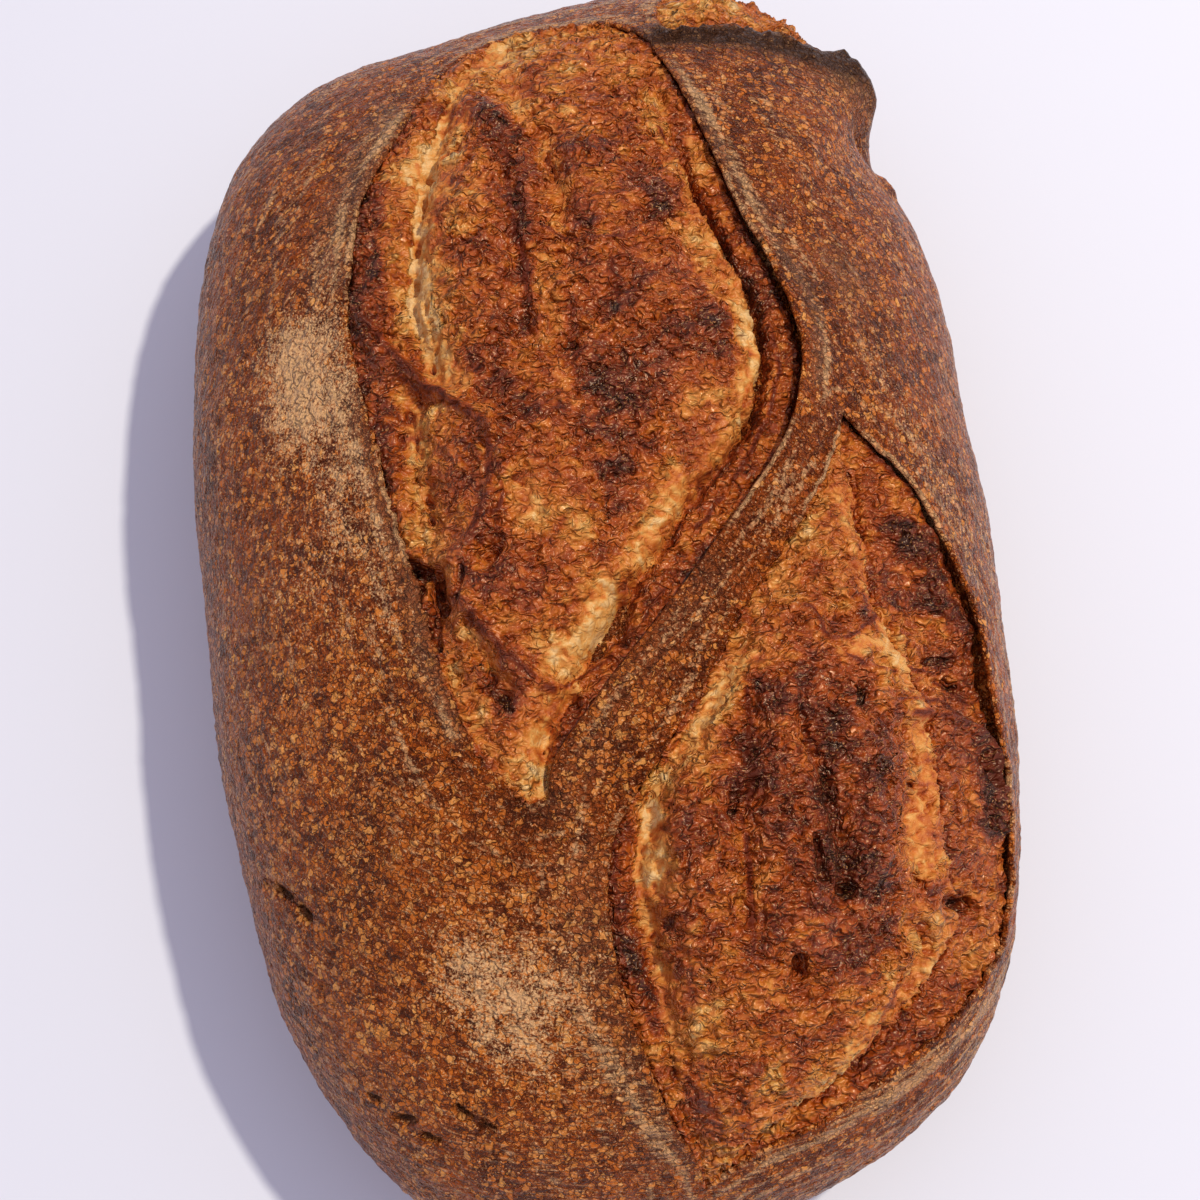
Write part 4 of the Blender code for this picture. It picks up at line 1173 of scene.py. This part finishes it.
# %% Small helpers for nodes
def combine(tree, operation, first, second, clamp=False):
    """A maths node on two sockets or numbers, and its result."""
    made = tree.nodes.new("ShaderNodeMath")
    made.operation = operation
    made.use_clamp = clamp
    for socket, source in zip(made.inputs, (first, second)):
        if isinstance(source, (int, float)):
            socket.default_value = source
        else:
            tree.links.new(source, socket)
    return made.outputs[0]


def centred(tree, source):
    """A value from 0 to 1 moved to lie round 0."""
    return combine(tree, 'SUBTRACT', source, 0.5)


def weighted(tree, terms):
    """Sum of values, each times its weight."""
    total = 0.0
    for source, weight in terms:
        made = tree.nodes.new("ShaderNodeMath")
        made.operation = 'MULTIPLY_ADD'
        for socket, given in zip(made.inputs, (source, weight, total)):
            if isinstance(given, float):
                socket.default_value = given
            else:
                tree.links.new(given, socket)
        total = made.outputs[0]
    return total


def painted(tree, name):
    """The painted value of that name."""
    made = tree.nodes.new("ShaderNodeAttribute")
    made.attribute_name = name
    return made.outputs["Fac"]


def grain(tree, size_mm, detail, distortion, stretch=(1, 1, 1)):
    """Noise on the piece's own coordinates with waves of about that size."""
    place = tree.nodes.new("ShaderNodeTexCoord")
    mapping = tree.nodes.new("ShaderNodeMapping")
    mapping.inputs["Scale"].default_value = stretch
    texture = tree.nodes.new("ShaderNodeTexNoise")
    texture.inputs["Scale"].default_value = 1 / (size_mm * MM)
    texture.inputs["Detail"].default_value = detail
    texture.inputs["Distortion"].default_value = distortion
    tree.links.new(place.outputs["Object"], mapping.inputs["Vector"])
    tree.links.new(mapping.outputs["Vector"], texture.inputs["Vector"])
    return texture.outputs["Fac"]


def mixed(tree, factor, first, second):
    """One colour over another by a factor."""
    made = tree.nodes.new("ShaderNodeMix")
    made.data_type = 'RGBA'
    for socket, source in zip((made.inputs[0], made.inputs[6], made.inputs[7]),
                              (factor, first, second)):
        if isinstance(source, (int, float, tuple)):
            socket.default_value = source
        else:
            tree.links.new(source, socket)
    return made.outputs[2]


def ramp(tree, source, stops):
    """A colour ramp through the given stops."""
    made = tree.nodes.new("ShaderNodeValToRGB")
    bar = made.color_ramp
    while len(bar.elements) < len(stops):
        bar.elements.new(0.5)
    for element, (place, colour) in zip(bar.elements, stops):
        element.position = place
        element.color = (*colour, 1.0)
    tree.links.new(source, made.inputs["Fac"])
    return made.outputs["Color"]


def range_of(tree, source, low, high, to_low=0.0, to_high=1.0):
    """Rescale a value from one range to another, without going past its ends."""
    made = tree.nodes.new("ShaderNodeMapRange")
    made.clamp = True
    tree.links.new(source, made.inputs["Value"])
    for name, value in zip(("From Min", "From Max", "To Min", "To Max"),
                           (low, high, to_low, to_high)):
        made.inputs[name].default_value = value
    return made.outputs["Result"]


def bumped(tree, shader, height, distance_mm, strength=1.0):
    """Let a height bend the shader's normal."""
    made = tree.nodes.new("ShaderNodeBump")
    made.inputs["Strength"].default_value = strength
    made.inputs["Distance"].default_value = distance_mm * MM
    tree.links.new(height, made.inputs["Height"])
    tree.links.new(made.outputs["Normal"], shader.inputs["Normal"])


# %% Coordinates that wander
def wandering_place(tree, size_mm, reach_mm, stretch=(1, 1, 1)):
    """The piece's own coordinates, pushed about by noise so that cells get uneven outlines."""
    place = tree.nodes.new("ShaderNodeTexCoord")
    texture = tree.nodes.new("ShaderNodeTexNoise")
    texture.inputs["Scale"].default_value = 1 / (size_mm * MM)
    texture.inputs["Detail"].default_value = 1.0
    tree.links.new(place.outputs["Object"], texture.inputs["Vector"])
    middle = tree.nodes.new("ShaderNodeVectorMath")
    middle.operation = 'SUBTRACT'
    middle.inputs[1].default_value = (0.5, 0.5, 0.5)
    tree.links.new(texture.outputs["Color"], middle.inputs[0])
    pushed = tree.nodes.new("ShaderNodeVectorMath")
    pushed.operation = 'MULTIPLY_ADD'
    pushed.inputs[1].default_value = (4 * reach_mm * MM,) * 3
    tree.links.new(middle.outputs["Vector"], pushed.inputs[0])
    tree.links.new(place.outputs["Object"], pushed.inputs[2])
    mapping = tree.nodes.new("ShaderNodeMapping")
    mapping.inputs["Scale"].default_value = stretch
    tree.links.new(pushed.outputs["Vector"], mapping.inputs["Vector"])
    return mapping.outputs["Vector"]


def cells(tree, vector, size_mm):
    """Uneven cells of that size: distance to each cell's middle, and two random values."""
    texture = tree.nodes.new("ShaderNodeTexVoronoi")
    texture.inputs["Scale"].default_value = 1 / (size_mm * MM)
    tree.links.new(vector, texture.inputs["Vector"])
    split = tree.nodes.new("ShaderNodeSeparateColor")
    tree.links.new(texture.outputs["Color"], split.inputs["Color"])
    return texture.outputs["Distance"], split.outputs["Red"], split.outputs["Green"]


def seams(tree, vector, size_mm):
    """Distance to the seams between the same cells."""
    texture = tree.nodes.new("ShaderNodeTexVoronoi")
    texture.feature = 'DISTANCE_TO_EDGE'
    texture.inputs["Scale"].default_value = 1 / (size_mm * MM)
    tree.links.new(vector, texture.inputs["Vector"])
    return texture.outputs["Distance"]


# %% The torn skin
BROWNING = [
    (0.0, (0.74, 0.45, 0.19)),
    (0.15, (0.67, 0.31, 0.075)),
    (0.30, (0.60, 0.19, 0.029)),
    (0.45, (0.49, 0.112, 0.012)),
    (0.58, (0.37, 0.062, 0.007)),
    (0.70, (0.25, 0.036, 0.005)),
    (0.82, (0.145, 0.019, 0.005)),
    (0.92, (0.085, 0.013, 0.005)),
    (1.0, (0.03, 0.005, 0.002)),
]
PALE_TIP_AND_GLINT = (0.80, 0.34, 0.11, 1.0)
WARM_GLINT = (1.0, 0.72, 0.55, 1.0)
CRUST_GLINT = (1.0, 0.54, 0.28, 1.0)


def wrinkles(tree, vector, size_mm):
    """Rounded folds with sharp creases between them: 0 in a crease and about 1 on a fold."""
    texture = tree.nodes.new("ShaderNodeTexNoise")
    texture.inputs["Scale"].default_value = 1 / (size_mm * MM)
    texture.inputs["Detail"].default_value = 0.0
    texture.inputs["Distortion"].default_value = 0.6
    tree.links.new(vector, texture.inputs["Vector"])
    away = combine(tree, 'ABSOLUTE', centred(tree, texture.outputs["Fac"]), 0.0)
    return range_of(tree, away, 0.0, 0.22)


def finish_torn_skin(material):
    """Colour, gloss and flakes of the blooms, with painted glints and painted crease shade in the
    colour.
    """
    material.use_nodes = True
    tree = material.node_tree
    shader = tree.nodes["Principled BSDF"]
    fine = grain(tree, 0.5, 1.0, 0.5)
    tint = grain(tree, 5.5, 2.0, 0.8)
    place = wandering_place(tree, 2.4, 0.6, (0.75, 1.3, 1.0))
    fold = wrinkles(tree, place, 4.8)
    small_fold = wrinkles(tree, place, 2.1)
    skin = combine(tree, 'SUBTRACT', 1.0, painted(tree, "crumb"), True)
    smooth = combine(tree, 'SUBTRACT', 1.0, painted(tree, "strand"), True)
    # Painted shade: the creases of the wrinkles are painted browner and their crests paler, while
    # the fine noise and the broad tint vary the tone at random.
    tone = weighted(tree, ((centred(tree, fold), -0.12), (centred(tree, small_fold), -0.08),
                           (centred(tree, fine), 0.3), (centred(tree, tint), 0.7)))
    tone = combine(tree, 'MULTIPLY', tone, range_of(tree, skin, 0.0, 1.0, 0.8, 1.0))
    tone = combine(tree, 'MULTIPLY', tone, smooth)
    brown_and_shade = combine(tree, 'ADD', painted(tree, "brown_and_shade"), tone)
    # Painted glints: the peaks of the fine noise are mixed towards a pale colour. They stand for
    # small highlights, and also for pale dried flake edges.
    tip = combine(tree, 'MULTIPLY', range_of(tree, fine, 0.61, 0.70, 0.0, 0.5), smooth)
    tree.links.new(mixed(tree, tip, ramp(tree, brown_and_shade, BROWNING), PALE_TIP_AND_GLINT),
                   shader.inputs["Base Color"])
    gloss = combine(tree, 'ADD', range_of(tree, fine, 0.3, 0.7, 0.28, 0.44),
                    range_of(tree, skin, 0.0, 1.0, 0.25, 0.0))
    tree.links.new(gloss, shader.inputs["Roughness"])
    tree.links.new(range_of(tree, smooth, 0.0, 1.0, 0.35, 0.7),
                   shader.inputs["Specular IOR Level"])
    shader.inputs["Specular Tint"].default_value = WARM_GLINT
    height = weighted(tree, ((fold, 0.8), (small_fold, 0.5)))
    height = combine(tree, 'MULTIPLY', height, range_of(tree, smooth, 0.0, 1.0, 0.6, 1.0))
    height = combine(tree, 'MULTIPLY', height, range_of(tree, skin, 0.0, 1.0, 0.2, 1.0))
    bumped(tree, shader, height, 1.6, 1.0)


# %% The crust
CRUST_DARK = (0.085, 0.011, 0.001, 1.0)
CRUST_MIDDLE = (0.34, 0.058, 0.004, 1.0)
CRUST_GRAIN = (0.52, 0.12, 0.012, 1.0)
CRUST_PALE_GRAIN = (0.76, 0.31, 0.075, 1.0)
CRUST_BLISTER = (0.60, 0.17, 0.022, 1.0)
CRUST_GREY = (0.19, 0.09, 0.05, 1.0)
CRUST_FLOUR = (0.70, 0.40, 0.19, 1.0)
CRUST_CHAR_AND_SHADE = (0.05, 0.017, 0.008, 1.0)
CRUST_SPECK_AND_GLINT = (0.85, 0.50, 0.27, 1.0)
GRAIN_CELL = 1.5
BLISTER_CELL = 3.4


def wrapped_streaks(tree, size_mm):
    """Noise drawn out along the loaf's outline, on the painted wrapping coordinates."""
    wrap = tree.nodes.new("ShaderNodeAttribute")
    wrap.attribute_name = "wrap"
    texture = tree.nodes.new("ShaderNodeTexNoise")
    texture.inputs["Scale"].default_value = 1 / size_mm
    texture.inputs["Detail"].default_value = 3.0
    texture.inputs["Distortion"].default_value = 0.4
    tree.links.new(wrap.outputs["Vector"], texture.inputs["Vector"])
    return texture.outputs["Fac"]


def finish_crust(material):
    """Colour, grains, flour and burnt parts of the crust, with painted glints and painted shade in
    its cracks.
    """
    material.use_nodes = True
    tree = material.node_tree
    shader = tree.nodes["Principled BSDF"]
    fine = grain(tree, 0.5, 2.0, 0.6)
    middle = grain(tree, 3.0, 1.0, 0.8)
    broad = grain(tree, 12.0, 2.0, 0.6)
    streak = wrapped_streaks(tree, 3.2)
    place = wandering_place(tree, 1.3, 0.5)
    edge, lot, other = cells(tree, place, GRAIN_CELL)
    seam = seams(tree, place, GRAIN_CELL)
    wide_edge, wide_lot, wide_other = cells(tree, place, BLISTER_CELL)
    body = range_of(tree, seam, 0.02, 0.12)
    fold = wrinkles(tree, place, 2.8)
    bare = combine(tree, 'SUBTRACT', 1.0, painted(tree, "flour"), True)
    chance = weighted(tree, ((lot, 1.0), (centred(tree, middle), 1.4), (centred(tree, fine), 0.8),
                             (painted(tree, "blistered"), 1.0)))
    grains = combine(tree, 'MULTIPLY', range_of(tree, chance, 0.4, 0.52), body)
    wide_size = weighted(tree, ((combine(tree, 'POWER', wide_lot, 3.0), 0.5),
                                (centred(tree, fine), 0.3), (painted(tree, "blistered"), 0.6)))
    wide_raised = combine(tree, 'SUBTRACT', wide_size, wide_edge)
    wide_blister = range_of(tree, wide_raised, 0.0, 0.12)
    shade = weighted(tree, ((centred(tree, fine), 2.0), (centred(tree, broad), 2.0),
                            (centred(tree, middle), 1.4), (centred(tree, streak), 3.0)))
    ground = mixed(tree, range_of(tree, shade, -0.6, 0.6), CRUST_DARK, CRUST_MIDDLE)
    grain_colour = mixed(tree, combine(tree, 'POWER', other, 3.0), CRUST_GRAIN, CRUST_PALE_GRAIN)
    spotted = mixed(tree, combine(tree, 'MULTIPLY', grains, 0.85), ground, grain_colour)
    swollen = mixed(tree, range_of(tree, wide_other, 0.5, 1.0), CRUST_BLISTER, CRUST_PALE_GRAIN)
    spotted = mixed(tree, combine(tree, 'MULTIPLY', wide_blister, 0.85), spotted, swollen)
    greyed = mixed(tree, combine(tree, 'MULTIPLY', painted(tree, "grey"), 0.6, True),
                   spotted, CRUST_GREY)
    drawn = weighted(tree, ((centred(tree, streak), 3.6), (painted(tree, "flank"), 0.4),
                            (painted(tree, "lines"), 1.6), (centred(tree, fine), 1.0)))
    streaked = mixed(tree, range_of(tree, drawn, 0.25, 1.0, 0.0, 0.6), greyed, CRUST_FLOUR)
    dust = weighted(tree, ((painted(tree, "flour"), 1.0), (centred(tree, fine), 2.6),
                           (centred(tree, middle), 1.2)))
    floured = mixed(tree, range_of(tree, dust, 0.4, 1.0, 0.0, 0.85), streaked, CRUST_FLOUR)
    # Painted glints: tiny pale specks stand for small highlights on the crust, and also for tiny
    # pale blisters.
    speck_and_glint = range_of(tree, fine, 0.62, 0.70, 0.0, 0.5)
    floured = mixed(tree, speck_and_glint, floured, CRUST_SPECK_AND_GLINT)
    # The burnt flap edge, and the painted shade in the cracks, turn the colour near black.
    burn_and_crack_shade = combine(tree, 'MULTIPLY', painted(tree, "char_and_crack_shade"), 1.6, True)
    tree.links.new(mixed(tree, burn_and_crack_shade, floured, CRUST_CHAR_AND_SHADE), shader.inputs["Base Color"])
    tree.links.new(range_of(tree, fine, 0.3, 0.7, 0.24, 0.38), shader.inputs["Roughness"])
    shader.inputs["Specular IOR Level"].default_value = 0.45
    shader.inputs["Specular Tint"].default_value = CRUST_GLINT
    relief = combine(tree, 'MULTIPLY', weighted(tree, ((body, 0.4), (other, 0.7))), bare)
    height = weighted(tree, ((relief, 1.0), (fold, 0.9), (streak, 1.2)))
    bumped(tree, shader, height, 0.9, 1.0)


finish_crust(crust_piece.data.materials[0])
for bloom in (upper_bloom, lower_bloom, end_bloom):
    finish_torn_skin(bloom.data.materials[0])

# %% [markdown]
# ## Ties to the frame
# All pieces belong to the one solid of the frame and stand in its place.

# %% Ride on the frame
for piece in (crust_piece, upper_bloom, lower_bloom, end_bloom):
    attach(piece, "root")
    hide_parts("loaf")

# %% [markdown]
# ## Floor, light and camera
# The loaf stands on a plain pale floor. A small bright lamp stands high to the right and a little
# beyond the loaf, and a pale surround fills the shadows. The camera looks almost straight down,
# as the photographer did.

# %% Floor
bpy.ops.mesh.primitive_plane_add(size=6.0)
floor = bpy.context.object
floor.name = "floor"
floor_material = bpy.data.materials.new("pale_floor")
floor_material.use_nodes = True
floor_shader = floor_material.node_tree.nodes["Principled BSDF"]
floor_shader.inputs["Base Color"].default_value = (0.76, 0.745, 0.84, 1.0)
floor_shader.inputs["Roughness"].default_value = 0.9
floor.data.materials.append(floor_material)

# %% Light
KEY_AZIMUTH = math.radians(-12)      # from the right, turned a little towards the near side
KEY_HEIGHT = math.radians(66)
KEY_DISTANCE = 1.6
key_data = bpy.data.lights.new("key", 'AREA')
key_data.shape = 'DISK'
key_data.size = 0.07
key_data.energy = 18.0
key_data.color = (1.0, 0.98, 0.80)
key = bpy.data.objects.new("key", key_data)
key_direction = Vector((math.cos(KEY_AZIMUTH) * math.cos(KEY_HEIGHT),
                        -math.sin(KEY_AZIMUTH) * math.cos(KEY_HEIGHT), math.sin(KEY_HEIGHT)))
key.location = key_direction * KEY_DISTANCE
key.rotation_euler = key_direction.to_track_quat('Z', 'Y').to_euler()
bpy.context.scene.collection.objects.link(key)

world = bpy.data.worlds.new("soft surround")
world.use_nodes = True
world.node_tree.nodes["Background"].inputs["Color"].default_value = (0.84, 0.83, 1.0, 1.0)
world.node_tree.nodes["Background"].inputs["Strength"].default_value = 0.64
bpy.context.scene.world = world

# %% Camera
CAMERA_TURN = math.radians(5.8)
CAMERA_HEIGHT = math.radians(72)
CAMERA_DISTANCE = 0.522
TARGET = Vector((-0.5, -8.5, 45)) * MM
backward = Vector((-math.sin(CAMERA_TURN) * math.cos(CAMERA_HEIGHT),
                   -math.cos(CAMERA_TURN) * math.cos(CAMERA_HEIGHT), math.sin(CAMERA_HEIGHT)))
rightward = Vector((math.cos(CAMERA_TURN), -math.sin(CAMERA_TURN), 0))
upward = backward.cross(rightward)
camera_data = bpy.data.cameras.new("camera")
camera_data.lens = 70
camera_data.sensor_width = 36
camera_data.clip_start = 0.01
camera = bpy.data.objects.new("camera", camera_data)
camera.matrix_world = Matrix((rightward, upward, backward)).transposed().to_4x4()
camera.location = TARGET + backward * CAMERA_DISTANCE
bpy.context.scene.collection.objects.link(camera)
bpy.context.scene.camera = camera
bpy.context.scene.view_settings.view_transform = 'Standard'
